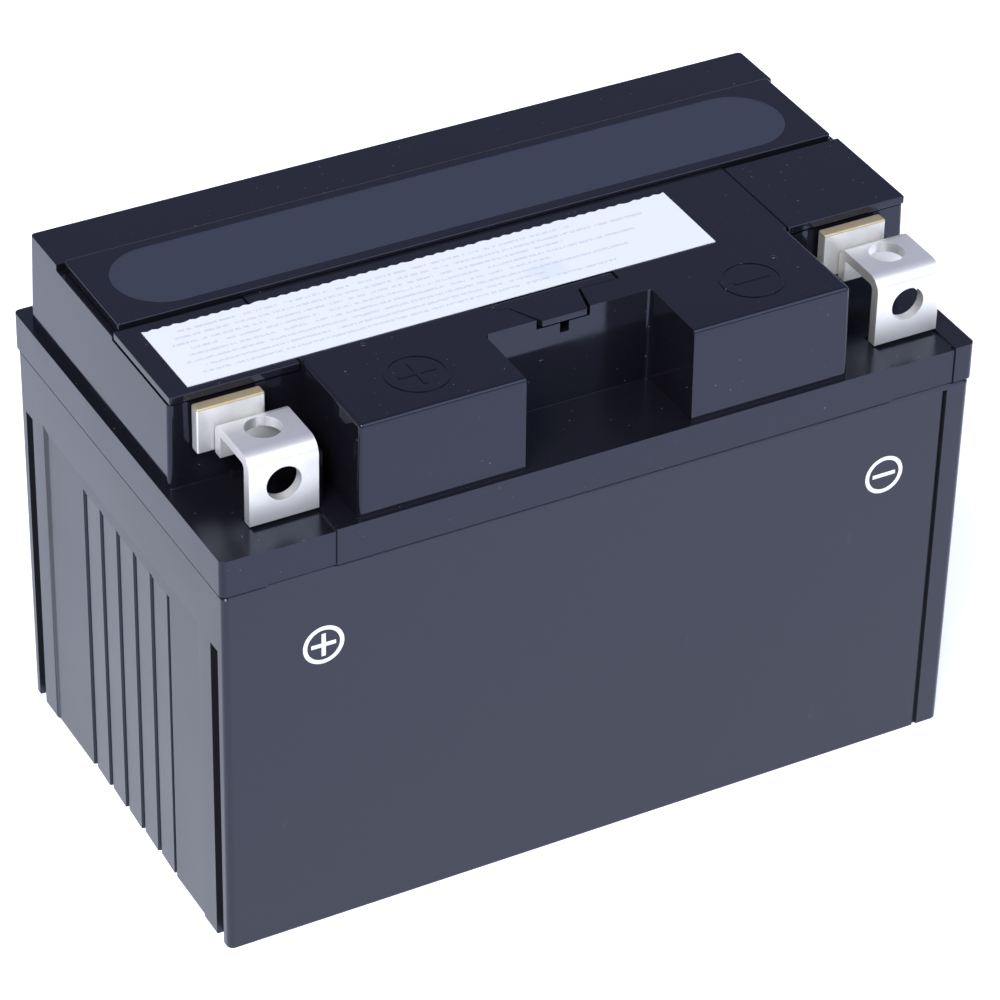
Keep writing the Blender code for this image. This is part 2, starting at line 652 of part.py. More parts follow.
def build_terminals():
    """Both terminals: screw strap, riser with pole, pole seal, resin and cover."""
    along_x = Matrix(((0, 0, 1), (1, 0, 0), (0, 1, 0)))
    for name, strap_middle, riser_middle in terminal_centres():
        strap = extruded_outline(name + "_terminal", strap_outline(), STRAP_WIDTH, TINNED, PARTS, along_x,
                                 Vector((strap_middle, 0, 0)))
        cut(strap, rods(name + "_front_hole", [(strap_middle, FRONT_HOLE_Z)], SCREW_RADIUS,
                        STRAP_FRONT - MM, STRAP_FRONT + STRAP_METAL + MM, ROUND_SEGMENTS, "Y"))
        cut(strap, rods(name + "_top_hole", [(strap_middle, TOP_HOLE_Y)], SCREW_RADIUS,
                        STRAP_TOP - STRAP_METAL - MM, STRAP_TOP + MM))
        smooth_round(strap.data)

        half = RISER_WIDTH / 2
        riser = box(name + "_riser", (riser_middle - half, RISER_FRONT, RISER_FOOT),
                    (riser_middle + half, RISER_REAR, RISER_TOP), TINNED, PARTS)
        tongue = TONGUE_WIDTH / 2
        join(riser, box(name + "_tongue", (riser_middle - tongue, RISER_REAR - MM, TONGUE_LOW),
                        (riser_middle + tongue, POLE_Y, TONGUE_HIGH)))
        join(riser, rods(name + "_pole", [(riser_middle, POLE_Y)], POLE_RADIUS, POLE_FOOT, TONGUE_HIGH))

        seal = [(POLE_RADIUS + FIT / 2, POLE_SEAL_HEIGHT), (POLE_SEAL_RADIUS, POLE_SEAL_HEIGHT),
                (POLE_SEAL_RADIUS, 0.0), (POLE_RADIUS + FIT / 2, 0.0)]
        turned(name + "_pole_seal", seal, RUBBER, (riser_middle, POLE_Y, WELL_FLOOR + FIT))

        resin = box(name + "_resin", (riser_middle - WELL_HALF + FIT, WELL_FRONT + FIT,
                                      WELL_FLOOR + 2 * FIT + POLE_SEAL_HEIGHT),
                    (riser_middle + WELL_HALF - FIT, WELL_REAR - FIT, COVER_UNDER - FIT - MM), RESIN, PARTS)
        cut(resin, box(name + "_tongue_room", (riser_middle - tongue - FIT, BODY_FRONT, TONGUE_LOW - FIT),
                       (riser_middle + tongue + FIT, POLE_Y, TONGUE_HIGH + FIT)))
        cut(resin, rods(name + "_pole_room", [(riser_middle, POLE_Y)], POLE_RADIUS + FIT, FLANGE_TOP,
                        TONGUE_HIGH + FIT))

        side = math.copysign(1, strap_middle)
        edges = sorted((side * (BLOCK_OUTER + FIT), side * (BODY_HALF_X - FIT / 2)))
        box(name + "_cover", (edges[0], BODY_FRONT + FIT / 2, COVER_UNDER),
            (edges[1], STRIP_FRONT - 2 * FIT, LID_TOP), LID_PLASTIC, PARTS)


def build_label():
    """The thin paper label on the front half of the top."""
    low = LID_TOP + LABEL_GAP
    box("top_label", (LABEL_LEFT, LABEL_FRONT, low), (LABEL_RIGHT, LABEL_REAR, low + LABEL_PAPER), PAPER, PARTS)


def comb_mesh(name, plates, lug_side):
    """One polarity's plates under a cast comb, about the cell's middle."""
    offset = STRAP_OFFSET * lug_side
    comb = box(name, (-COMB_HALF_X, offset - COMB_HALF_Y, COMB_LOW), (COMB_HALF_X, offset + COMB_HALF_Y, COMB_HIGH),
               None, CUTTERS)
    first = -(plates - 1) * PLATE_PITCH
    lugs = []
    leaves = []
    for index in range(plates):
        middle = first + 2 * index * PLATE_PITCH
        lugs.append(((middle - PLATE / 2, offset - LUG_HALF, PLATE_TOP - MM),
                     (middle + PLATE / 2, offset + LUG_HALF, COMB_LOW + MM)))
        leaves.append(((middle - PLATE / 2, -PLATE_HALF_DEPTH, PLATE_FOOT),
                       (middle + PLATE / 2, PLATE_HALF_DEPTH, PLATE_TOP)))
    join(comb, boxes(name + "_lugs", lugs))
    join(comb, boxes(name + "_leaves", leaves))
    bpy.context.view_layer.update()
    evaluated = comb.evaluated_get(bpy.context.evaluated_depsgraph_get())
    return bpy.data.meshes.new_from_object(evaluated)


def separator_mesh(name):
    """The glass mats of a cell: a leaf between each two plates, on one floor mat."""
    gaps = POSITIVE_PLATES + NEGATIVE_PLATES - 1
    floor = CASE_FLOOR + FIT
    reach = gaps / 2 * PLATE_PITCH
    mat = box(name, (-reach, -MAT_HALF_DEPTH, floor), (reach, MAT_HALF_DEPTH, floor + MAT_FLOOR), None, CUTTERS)
    leaves = []
    for index in range(gaps):
        middle = (index - (gaps - 1) / 2) * PLATE_PITCH
        leaves.append(((middle - MAT / 2, -MAT_HALF_DEPTH, floor + MAT_FLOOR / 2),
                       (middle + MAT / 2, MAT_HALF_DEPTH, MAT_TOP)))
    join(mat, boxes(name + "_leaves", leaves))
    bpy.context.view_layer.update()
    evaluated = mat.evaluated_get(bpy.context.evaluated_depsgraph_get())
    return bpy.data.meshes.new_from_object(evaluated)


def build_cells():
    """Six cells: positive comb, negative comb and mats, joined by five lead links."""
    positive = comb_mesh("positive_comb_model", POSITIVE_PLATES, -1)
    negative = comb_mesh("negative_comb_model", NEGATIVE_PLATES, 1)
    mats = separator_mesh("separator_model")
    for mesh, material in ((positive, OXIDE), (negative, SPONGE), (mats, GLASS_MAT)):
        mesh.materials.clear()
        mesh.materials.append(material)
    for index, centre in enumerate(cell_centres()):
        number = index + 1
        for name, mesh in (("positive_plates", positive), ("negative_plates", negative), ("separator", mats)):
            item = bpy.data.objects.new("%s_%d" % (name, number), mesh)
            item.location = (centre, 0.0, 0.0)
            item.rotation_euler.z = 0.0 if link_side(index) > 0 else math.pi
            PARTS.objects.link(item)
    half = CELL_PITCH / 2 - COMB_HALF_X - FIT
    for index, middle in enumerate(partition_centres()):
        place = (middle, link_side(index) * STRAP_OFFSET, LINK_HEIGHT)
        work = bmesh.new()
        add_rod(work, (0.0, 0.0), LINK_RADIUS, -half, half, SMALL_ROUND_SEGMENTS, "X")
        mesh = finish_bmesh(work, "cell_link_%d" % (index + 1))
        smooth_round(mesh)
        register_object("cell_link_%d" % (index + 1), mesh, LEAD, PARTS, place)


build_container()
build_lid()
build_plug_strip()
build_valve()
build_terminals()
build_label()
build_cells()
bpy.context.view_layer.update()
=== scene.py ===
"""Sealed motorcycle battery: the finished looks around its fixed CAD frame.

All lengths are metres in the frame's own axes: +X runs along the length to the
negative terminal, the terminals face -Y, and +Z is up.
"""

import math

import bmesh
import bpy
from bpy.props import FloatProperty, FloatVectorProperty, IntProperty, PointerProperty
from mathutils import Matrix, Vector


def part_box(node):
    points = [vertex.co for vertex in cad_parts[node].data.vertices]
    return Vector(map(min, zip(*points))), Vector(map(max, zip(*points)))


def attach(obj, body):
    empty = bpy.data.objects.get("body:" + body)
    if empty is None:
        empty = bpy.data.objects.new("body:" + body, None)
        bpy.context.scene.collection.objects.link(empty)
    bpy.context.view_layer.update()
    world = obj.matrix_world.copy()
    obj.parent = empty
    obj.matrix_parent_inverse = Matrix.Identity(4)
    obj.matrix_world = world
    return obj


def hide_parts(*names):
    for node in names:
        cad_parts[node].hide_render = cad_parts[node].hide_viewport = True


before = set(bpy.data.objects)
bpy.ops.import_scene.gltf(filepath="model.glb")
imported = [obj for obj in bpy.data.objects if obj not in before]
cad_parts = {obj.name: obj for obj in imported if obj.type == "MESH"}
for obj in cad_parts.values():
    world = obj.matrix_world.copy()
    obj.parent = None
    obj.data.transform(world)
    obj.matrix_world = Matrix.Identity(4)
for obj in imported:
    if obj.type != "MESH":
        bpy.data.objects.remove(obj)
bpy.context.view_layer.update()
for plain in bpy.data.materials:
    plain.name = "cad_" + plain.name

bl_info = {
    "name": "Motorcycle Battery",
    "version": (1, 0, 0),
    "blender": (4, 5, 0),
    "location": "View3D > Sidebar > Battery",
    "description": "Builds the detailed pieces, finishes and studio of a sealed motorcycle battery",
    "category": "Object",
}

MM = 0.001
FIT = 0.3 * MM
TOUCH = 0.05 * MM
OVERSHOOT = 4 * MM
CELLS = 6
SIDES = ("positive", "negative")

# Where the container's front is scuffed most: X of the middle, half the width, and lowest height, in mm.
SCUFF_MIDDLE = -43.0
SCUFF_HALF = 22.0
SCUFF_FOOT = 8.0

# The label's rows of print: distance between two rows in mm, and the span of rows counted from the front.
ROW_PITCH = 1.9
FIRST_ROW = 0.9
LAST_ROW = 9.3

# How far the flux stain runs down from a riser's top, in mm.
STAIN_DEPTH = 0.4

# How strongly the container's satin plastic and the lid's polished plastic mirror the room.
CASE_MIRROR = 0.43
LID_MIRROR = 0.49

# The room's light by the sine of the height above the horizon: its level and its colour.
ROOM_STOPS = ((0.0, 1.0, "horizon"), (0.10, 0.85, "horizon"), (0.30, 0.9, "ceiling"),
              (0.62, 0.97, "ceiling"), (0.9, 1.0, "ceiling"))

# The camera's sensor, in mm.
SENSOR_WIDTH = 36.0

# The vent cover's outline: the wide plate's front edge and cut corner, and the tongue in front of it.
VENT_FRONT = -20.9 * MM
VENT_CORNER = -18.6 * MM
VENT_CORNER_FACING = (-1.0, -1.3, 0.0)
TONGUE_ROOT = 1.9 * MM
TONGUE_LEFT = -5.3 * MM
TONGUE_RIGHT = 3.7 * MM
TONGUE_SPREAD_LEFT = 4.4 * MM
TONGUE_SPREAD_RIGHT = 2.0 * MM

# Half the length of a mark's bars, as a share of its ring's radius.
BAR_REACH = 0.60

# Places on the lid: X and Y of the two moulding gates in metres, and of the label's smudge in millimetres.
GATES = ((41.0 * MM, -27.6 * MM), (-36.6 * MM, -20.2 * MM))
SMUDGE = (3.1, -13.6)
SMUDGE_REACH = (4.6, 3.2)

CASE_LOW, CASE_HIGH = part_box("container")
LID_LOW, LID_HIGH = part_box("lid")
STRIP_LOW, STRIP_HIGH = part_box("plug_strip")
LABEL_LOW, LABEL_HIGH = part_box("top_label")
CELL_CENTRES = [sum(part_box("separator_%d" % (index + 1)), Vector()).x / 2 for index in range(CELLS)]


def length(name, description, default):
    """A length property in metres."""
    return FloatProperty(name=name, description=description, default=default, precision=5,
                         subtype="DISTANCE", unit="LENGTH")


def angle(name, description, degrees):
    """An angle property, given in degrees."""
    return FloatProperty(name=name, description=description, default=math.radians(degrees),
                         subtype="ANGLE", unit="ROTATION")


def tint(name, description, default):
    """A colour property."""
    return FloatVectorProperty(name=name, description=description, default=default, size=3,
                               min=0.0, subtype="COLOR")


def power(name, description, default):
    """A light's power property in watts."""
    return FloatProperty(name=name, description=description, default=default, unit="POWER")


def place(name, description, default):
    """A point property in metres."""
    return FloatVectorProperty(name=name, description=description, default=default, size=3,
                               precision=5, subtype="TRANSLATION", unit="LENGTH")


class CaseSizes(bpy.types.PropertyGroup):
    """Sizes of the ribbed container."""
    half_length: length("Half length", "Half the container's length at its top", 74.6 * MM)
    half_depth: length("Half depth", "Half the container's depth at its top", 43.4 * MM)
    rim_round: length("Rim chamfer", "Width of the chamfer around the container's top", 0.6 * MM)
    end_draft: length("End draft", "How much each end leans in at the foot", 0.1 * MM)
    front_draft: length("Front draft", "How much the front and the rear lean in at the foot", 0.5 * MM)
    corner: length("Corner radius", "Radius of the upright corners", 1.3 * MM)
    foot_round: length("Foot radius", "Radius along the foot", 0.35 * MM)
    edge_round: length("Edge radius", "Radius on the relief's small edges", 0.22 * MM)
    collar_low: length("Collar foot", "Height where the end walls' smooth collar starts", 65.2 * MM)
    collar_slope: length("Collar slope", "Height over which the collar runs into the panel", 1.6 * MM)
    panel_depth: length("Panel depth", "How deep each end panel lies under the collar", 0.45 * MM)
    panel_half: length("Panel half width", "Half the width of an end panel's flat field", 32.0 * MM)
    panel_slope: length("Panel slope", "Width of the soft slope at a panel's side", 0.8 * MM)
    flutes: IntProperty(name="Flutes", description="Upright grooves in each end panel", default=6, min=1)
    flute_rear: length("Rearmost flute", "Y of the flute nearest the rear", 16.0 * MM)
    flute_drop: length("Flute drop", "How far the flutes' upper ends lie under the collar's foot", 2.6 * MM)
    flute_pitch: length("Flute pitch", "Distance between two flutes", 7.1 * MM)
    flute_width: length("Flute width", "Width of a flute at its mouth", 1.25 * MM)
    flute_floor: length("Flute floor", "Width of a flute at its floor", 0.6 * MM)
    flute_depth: length("Flute depth", "Depth of a flute under the panel", 0.85 * MM)
    facet_rise: length("Facet rise", "How far a facet between two flutes leans out at its front", 0.3 * MM)
    groove_middle: length("Corner groove", "Y of the middle of a corner groove", 39.2 * MM)
    groove_width: length("Corner groove width", "Width of a corner groove", 2.9 * MM)
    groove_depth: length("Corner groove depth", "Depth of a corner groove", 1.45 * MM)
    front_groove: length("Front groove", "X of the groove in the front wall", 69.3 * MM)
    front_groove_width: length("Front groove width", "Width of the front groove", 1.0 * MM)
    front_groove_depth: length("Front groove depth", "Depth of the front groove", 0.7 * MM)
    cell_width: length("Cell width", "Inner width of one cell", 22.3 * MM)
    cell_half_depth: length("Cell half depth", "Half the inner depth of a cell", 39.6 * MM)
    floor: length("Floor", "Thickness of the container's floor", 2.6 * MM)
    link_room: length("Link hole radius", "Radius of the hole for a cell link", 4.3 * MM)


class LidSizes(bpy.types.PropertyGroup):
    """Sizes of the stepped lid."""
    flange_top: length("Flange top", "Height of the flange's upper face", 85.5 * MM)
    flange_corner: length("Flange corner", "Radius of the flange's upright corners", 1.2 * MM)
    body_half: length("Body half length", "Half the length of the raised body at its top", 73.2 * MM)
    body_rear: length("Body rear", "Y of the raised body's rear face", 38.2 * MM)
    body_front: length("Body front", "Y of the raised body's front face behind the terminals", -19.9 * MM)
    body_corner: length("Body corner", "Radius of the raised body's upright corners", 0.9 * MM)
    block_outer: length("Block outer face", "X of a front block's outer face", 48.2 * MM)
    block_inner: length("Block inner face", "X of a front block's inner face", 16.5 * MM)
    block_front: length("Block front", "Y of the blocks' front faces", -42.0 * MM)
    block_corner: length("Block corner", "Radius of the blocks' upright corners", 0.8 * MM)
    block_round: length("Block edge radius", "Radius along the blocks' top edges", 0.9 * MM)
    gap_rear: length("Gap rear", "Y of the wall behind the gap between the blocks", -26.8 * MM)
    draft: angle("Draft", "Lean of every upright wall", 1.2)
    edge_round: length("Edge radius", "Radius of the main edges", 0.65 * MM)
    fine_round: length("Fine radius", "Radius of the small edges", 0.12 * MM)
    lip_drop: length("Lip drop", "How far the flange drops in front of a terminal", 0.5 * MM)
    lip_rear: length("Lip rear", "Y where the lowered lip ends", -33.0 * MM)
    lip_half: length("Lip half width", "Half the width of the lowered lip", 6.5 * MM)
    skirt_recess: length("Skirt recess", "Depth of the patch in the flange under a terminal", 0.3 * MM)
    rib_setback: length("Rib setback", "How far the rib lies behind the positive strap's front", 2.3 * MM)
    rib_width: length("Rib width", "Width of the rib beside the positive strap", 1.5 * MM)
    rib_drop: length("Rib drop", "How far the rib's top lies under the lid's top", 8.8 * MM)
    seat_depth: length("Seat depth", "Depth of the strip's seat in the lid", 1.2 * MM)
    wall: length("Wall", "Wall of the lid around its hollows", 2.4 * MM)
    roof: length("Roof", "Height of the hollows under the plugs", 98.0 * MM)
    headspace: length("Head space", "Height of the hollow under the flange", 81.4 * MM)
    port_radius: length("Port radius", "Radius of a filler port", 5.2 * MM)
    well_floor: length("Well floor", "Height of a potting well's floor", 88.0 * MM)
    valve_well: length("Valve well radius", "Radius of the relief valve's well", 5.8 * MM)
    valve_floor: length("Valve well floor", "Height of the relief valve's well floor", 93.0 * MM)
    valve_seat: length("Valve seat", "Height of the tube that the relief valve closes", 97.6 * MM)
    vent_slot: length("Vent slot width", "Width of the gas slot in the gap's rear wall", 1.8 * MM)
    vent_middle: length("Vent slot place", "X of the middle of the gas slot", -0.7 * MM)


class TopSizes(bpy.types.PropertyGroup):
    """Sizes of the strip, the label, the cover plates and the raised marks."""
    field_half: length("Field half width", "Half the width of the strip's matte field", 9.3 * MM)
    field_reach: length("Field reach", "X of the matte field's round ends", 67.5 * MM)
    field_depth: length("Field depth", "Depth of the matte field in the strip", 0.05 * MM)
    strip_round: length("Strip edge radius", "Radius of the strip's edges", 0.28 * MM)
    strip_sink: length("Strip sink", "How far the strip's underside lies under the lid's top", 0.9 * MM)
    plug_round: length("Plug edge radius", "Radius along a plug's lower edge", 0.6 * MM)
    plug_radius: length("Plug radius", "Radius of a filler plug", 4.4 * MM)
    plug_groove: length("Plug groove radius", "Radius of the neck under a plug's rubber ring", 3.8 * MM)
    tooth: length("Label tooth", "Pitch of the teeth on the label's rear edge", 1.9 * MM)
    tooth_depth: length("Tooth depth", "Depth of the teeth on the label's rear edge", 0.35 * MM)
    strip_reach: length("Strip reach", "X of the strip's ends", 71.9 * MM)
    cover_reach: length("Cover reach", "X of the terminal covers' outer edges", 73.1 * MM)
    plate_round: length("Plate edge radius", "Radius of the cover plates' edges", 0.22 * MM)
    mark_radius: length("Mark radius", "Outer radius of a raised mark", 5.9 * MM)
    mark_line: length("Mark line", "Line width of a raised mark", 0.8 * MM)
    mark_height: length("Mark height", "How far a raised mark stands up", 0.15 * MM)
    mark_y: length("Mark place", "Y of the middle of the raised marks", -32.0 * MM)
    plus_x: length("Raised plus", "X of the middle of the raised plus", -32.3 * MM)
    minus_x: length("Raised minus", "X of the middle of the raised minus", 33.9 * MM)
    gate_radius: length("Gate radius", "Radius of the round nub that a moulding gate leaves", 0.6 * MM)
    gate_sink: length("Gate sink", "How far the middle of a gate's nub lies under the lid's top", 0.2 * MM)
    print_radius: length("Print radius", "Outer radius of a printed mark", 3.95 * MM)
    print_line: length("Print line", "Line width of a printed mark", 0.8 * MM)
    print_height: length("Print place", "Height of the middle of the printed marks", 62.0 * MM)
    print_film: length("Print film", "Thickness of the printed marks' ink", 0.04 * MM)
    print_plus_shift: length("Printed plus", "X of the printed plus from its terminal", 3.9 * MM)
    print_minus_shift: length("Printed minus", "X of the printed minus from its terminal", -6.9 * MM)


class TerminalSizes(bpy.types.PropertyGroup):
    """Sizes of the bent screw terminals."""
    metal: length("Metal", "Thickness of the bent strap", 2.0 * MM)
    bend: length("Front bend", "Outer radius of the strap's front bend", 3.0 * MM)
    rear_bend: length("Rear bend", "Outer radius of the strap's rear bend", 2.1 * MM)
    rear_shift: length("Rear shift", "How far the riser's front face lies behind its CAD box", 0.5 * MM)
    hole_radius: length("Hole radius", "Radius of the screw holes", 3.3 * MM)
    front_hole: length("Front hole", "Height of the front screw hole", 92.8 * MM)
    top_hole: length("Top hole", "Y of the top screw hole", -28.6 * MM)
    rear_foot: length("Rear foot", "Height of the strap's rear edge", 93.0 * MM)
    edge_round: length("Edge radius", "Radius of the metal's edges", 0.3 * MM)
    tongue_width: length("Tongue width", "Width of the tongue that enters the lid", 7.0 * MM)
    tongue_low: length("Tongue underside", "Height of the tongue's underside", 94.6 * MM)
    tongue_high: length("Tongue top", "Height of the tongue's top", 99.0 * MM)
    pole_radius: length("Pole radius", "Radius of the pole under the tongue", 3.6 * MM)
    riser_foot: length("Riser foot", "Height of the riser plate's lower edge", 93.2 * MM)
    riser_rear: length("Riser rear", "Y of the riser plate's rear face", -20.7 * MM)


class Finishes(bpy.types.PropertyGroup):
    """Colours of the visible materials."""
    case: tint("Container", "Colour of the container's plastic", (0.016, 0.0165, 0.020))
    lid: tint("Lid", "Colour of the lid's polished plastic", (0.0065, 0.0062, 0.0095))
    mirror: tint("Mirror tint", "Colour of the light that the black plastics mirror", (0.62, 0.71, 1.0))
    dull_ledge: length("Dull ledge", "Height below which the lid's plastic is less polished", 86.0 * MM)
    field: tint("Matte field", "Colour of the strip's matte field", (0.028, 0.034, 0.054))
    paper: tint("Paper", "Colour of the label", (0.70, 0.74, 0.79))
    label_print: tint("Label print", "Colour of the label's faint lines", (0.52, 0.54, 0.60))
    smudge: tint("Smudge", "Colour of the damp smudge on the label", (0.52, 0.60, 0.76))
    ink: tint("Ink", "Colour of the printed marks", (0.78, 0.80, 0.86))
    tin: tint("Tin", "Colour of the terminals", (0.80, 0.795, 0.78))
    flux: tint("Flux", "Colour of the stain on top of the risers", (0.52, 0.42, 0.22))
    lead: tint("Lead", "Colour of the cell links", (0.36, 0.37, 0.39))
    oxide: tint("Oxide paste", "Colour of the positive plates", (0.075, 0.040, 0.028))
    sponge: tint("Sponge lead paste", "Colour of the negative plates", (0.28, 0.29, 0.31))
    mat: tint("Glass mat", "Colour of the glass mats", (0.86, 0.86, 0.84))
    rubber: tint("Rubber", "Colour of the seals and the valve cap", (0.022, 0.022, 0.023))
    resin: tint("Resin", "Colour of the potting", (0.20, 0.022, 0.018))
    ceramic: tint("Ceramic", "Colour of the flame filter", (0.78, 0.76, 0.70))


class StageSizes(bpy.types.PropertyGroup):
    """The camera, the floor and the lights."""
    camera_place: place("Camera place", "Where the camera stands", (-0.3346, -0.6070, 0.5366))
    heading: angle("Camera heading", "Turn of the view from +Y towards +X", 29.02)
    pitch: angle("Camera pitch", "Angle of the view above the horizon", -35.217)
    roll: angle("Camera roll", "Turn of the camera about its view", 1.315)
    lens: FloatProperty(name="Lens", description="Focal length on the camera's sensor, in millimetres",
                        default=165.25, unit="CAMERA")
    floor_half: length("Floor half side", "Half the side of the floor", 6.0)
    key_place: place("Key place", "Where the warm key light stands", (-1.6, -1.3, 2.4))
    key_size: length("Key size", "Side of the key light", 1.2)
    key_power: power("Key power", "Power of the key light", 95.0)
    key_colour: tint("Key colour", "Colour of the key light", (1.0, 0.98, 0.96))
    fill_place: place("Fill place", "Where the cool fill light stands", (0.9, -1.7, 1.9))
    fill_size: length("Fill size", "Side of the fill light", 2.2)
    fill_power: power("Fill power", "Power of the fill light", 34.0)
    fill_colour: tint("Fill colour", "Colour of the fill light", (0.86, 0.93, 1.0))
    glow_fade: length("Glow fade", "Distance past the -X end over which the floor's glow halves", 80 * MM)
    glow: tint("Floor glow", "Light that the white floor gives back", (0.53, 0.57, 0.68))
    horizon: tint("Horizon", "Light of the room near the floor", (0.92, 0.97, 1.10))
    ceiling: tint("Ceiling", "Light of the room overhead", (0.27, 0.28, 0.42))


def clear_selection():
    """Leaves edit mode and selects nothing."""
    if bpy.context.mode != "OBJECT":
        bpy.ops.object.mode_set(mode="OBJECT")
    bpy.ops.object.select_all(action="DESELECT")


def make_active(piece):
    """Selects one piece alone."""
    clear_selection()
    piece.select_set(True)
    bpy.context.view_layer.objects.active = piece


def settle(name):
    """Names the new primitive and moves its place into its mesh."""
    piece = bpy.context.object
    piece.name = name
    piece.data.name = name
    bpy.ops.object.transform_apply(location=True, rotation=True, scale=True)
    return piece


def add_block(name, low, high):
    """A cube primitive stretched between two corners."""
    clear_selection()
    low = Vector(low)
    high = Vector(high)
    bpy.ops.mesh.primitive_cube_add(size=1, location=(low + high) / 2, scale=high - low)
    return settle(name)


def add_rod(name, centre, radius, low, high, axis="Z", sides=48):
    """A cylinder primitive between two heights along an axis; centre is its place across it."""
    clear_selection()
    middle = (low + high) / 2
    spots = {"X": (middle, *centre), "Y": (centre[0], middle, centre[1]), "Z": (*centre, middle)}
    turns = {"X": (0, math.pi / 2, 0), "Y": (math.pi / 2, 0, 0), "Z": (0, 0, 0)}
    bpy.ops.mesh.primitive_cylinder_add(vertices=sides, radius=radius, depth=high - low,
                                        location=spots[axis], rotation=turns[axis])
    return settle(name)


def edit(piece, kind, test):
    """Opens a piece in edit mode with only what passes the test selected.

    The test gets a vertex's place, an edge's two ends, or a face's middle and normal.
    """
    make_active(piece)
    bpy.ops.object.mode_set(mode="EDIT")
    bpy.ops.mesh.select_mode(type=kind)
    bpy.ops.mesh.select_all(action="DESELECT")
    shape = bmesh.from_edit_mesh(piece.data)
    shape.normal_update()
    elements = {"VERT": shape.verts, "EDGE": shape.edges, "FACE": shape.faces}[kind]
    facts = {"VERT": lambda vert: [vert.co],
             "EDGE": lambda edge: [end.co for end in edge.verts],
             "FACE": lambda face: [face.calc_center_median(), face.normal]}[kind]
    for element in [element for element in elements if test(*facts(element))]:
        element.select_set(True)
    bmesh.update_edit_mesh(piece.data)


def leave_edit():
    """Goes back to object mode."""
    bpy.ops.object.mode_set(mode="OBJECT")


def shift_points(piece, test, offset):
    """Moves the vertices that pass a test."""
    edit(piece, "VERT", test)
    bpy.ops.transform.translate(value=offset)
    leave_edit()


def resize_points(piece, test, factors, centre):
    """Scales the vertices that pass a test about a point."""
    edit(piece, "VERT", test)
    bpy.ops.transform.resize(value=factors, center_override=centre)
    leave_edit()


def bevel_where(piece, test, radius, steps):
    """Rounds the edges that pass a test."""
    edit(piece, "EDGE", test)
    bpy.ops.mesh.bevel(offset=radius, segments=steps, profile=0.5, affect="EDGES", clamp_overlap=True)
    leave_edit()


def upright(start, end):
    """Whether an edge runs up the piece."""
    return abs(start.z - end.z) > MM and (start.xy - end.xy).length < abs(start.z - end.z) / 4


def apply_modifier(piece, kind, **settings):
    """Adds a modifier, sets it and applies it."""
    make_active(piece)
    step = piece.modifiers.new(kind.lower(), kind)
    for name, value in settings.items():
        setattr(step, name, value)
    bpy.ops.object.modifier_apply(modifier=step.name)


def merge(piece, tool, operation):
    """Runs one exact Boolean and removes its tool."""
    apply_modifier(piece, "BOOLEAN", object=tool, operation=operation, solver="EXACT")
    bpy.data.objects.remove(tool, do_unlink=True)


def carve(piece, tools):
    """Takes each tool's volume out of a piece."""
    for tool in tools:
        merge(piece, tool, "DIFFERENCE")


def weld(piece, additions):
    """Adds each addition's volume to a piece."""
    for addition in additions:
        merge(piece, addition, "UNION")


def soften(piece, radius, steps, limit=32):
    """Rounds every edge that is sharper than the limit in degrees."""
    apply_modifier(piece, "BEVEL", width=radius, segments=steps, limit_method="ANGLE",
                   angle_limit=math.radians(limit), miter_outer="MITER_ARC", use_clamp_overlap=True)


def finish_shading(piece, closest=0.01 * MM, limit=38):
    """Merges doubles and shades the round edges smooth while flat faces stay flat."""
    edit(piece, "VERT", lambda spot: True)
    bpy.ops.mesh.remove_doubles(threshold=closest)
    leave_edit()
    bpy.ops.object.shade_smooth_by_angle(angle=math.radians(limit))
    apply_modifier(piece, "WEIGHTED_NORMAL", weight=100, keep_sharp=True)


def hand_over(piece, name, body, material, nodes):
    """Names a finished piece, gives it its finish, hides the CAD nodes that it replaces and ties it to its
    CAD body.
    """
    for node in nodes:
        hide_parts(node)
    piece.name = name
    piece.data.name = name
    piece.data.materials.clear()
    piece.data.materials.append(material)
    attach(piece, body)
    return piece


class Signal:
    """A shader socket; each operator on it adds a Math node."""

    def __init__(self, tree, socket):
        self.tree = tree
        self.socket = socket

    def math(self, operation, *values):
        """Adds one Math node and returns its result."""
        node = self.tree.nodes.new("ShaderNodeMath")
        node.operation = operation
        for index, value in enumerate(values):
            feed(self.tree, node.inputs[index], value)
        return Signal(self.tree, node.outputs[0])

    def __add__(self, other):
        return self.math("ADD", self, other)

    __radd__ = __add__

    def __sub__(self, other):
        return self.math("SUBTRACT", self, other)

    def __rsub__(self, other):
        return self.math("SUBTRACT", other, self)

    def __mul__(self, other):
        return self.math("MULTIPLY", self, other)

    __rmul__ = __mul__

    def __truediv__(self, other):
        return self.math("DIVIDE", self, other)

    def __gt__(self, other):
        return self.math("GREATER_THAN", self, other)

    def __lt__(self, other):
        return self.math("LESS_THAN", self, other)

    def __abs__(self):
        return self.math("ABSOLUTE", self)

    def __mod__(self, other):
        return self.math("FLOORED_MODULO", self, other)

    def floor(self):
        """The whole number under it."""
        return self.math("FLOOR", self)

    def top(self, other):
        """The greater of both."""
        return self.math("MAXIMUM", self, other)

    def low(self, other):
        """The lesser of both."""
        return self.math("MINIMUM", self, other)

    def root(self):
        """Its square root."""
        return self.math("SQRT", self)


def feed(tree, socket, value):
    """Links a signal to a socket, or sets the socket's own value."""
    if isinstance(value, Signal):
        tree.links.new(value.socket, socket)
    else:
        socket.default_value = value


def shaded(colour, level):
    """A colour brought down to a level, with full cover."""
    return (*[part * level for part in colour], 1.0)


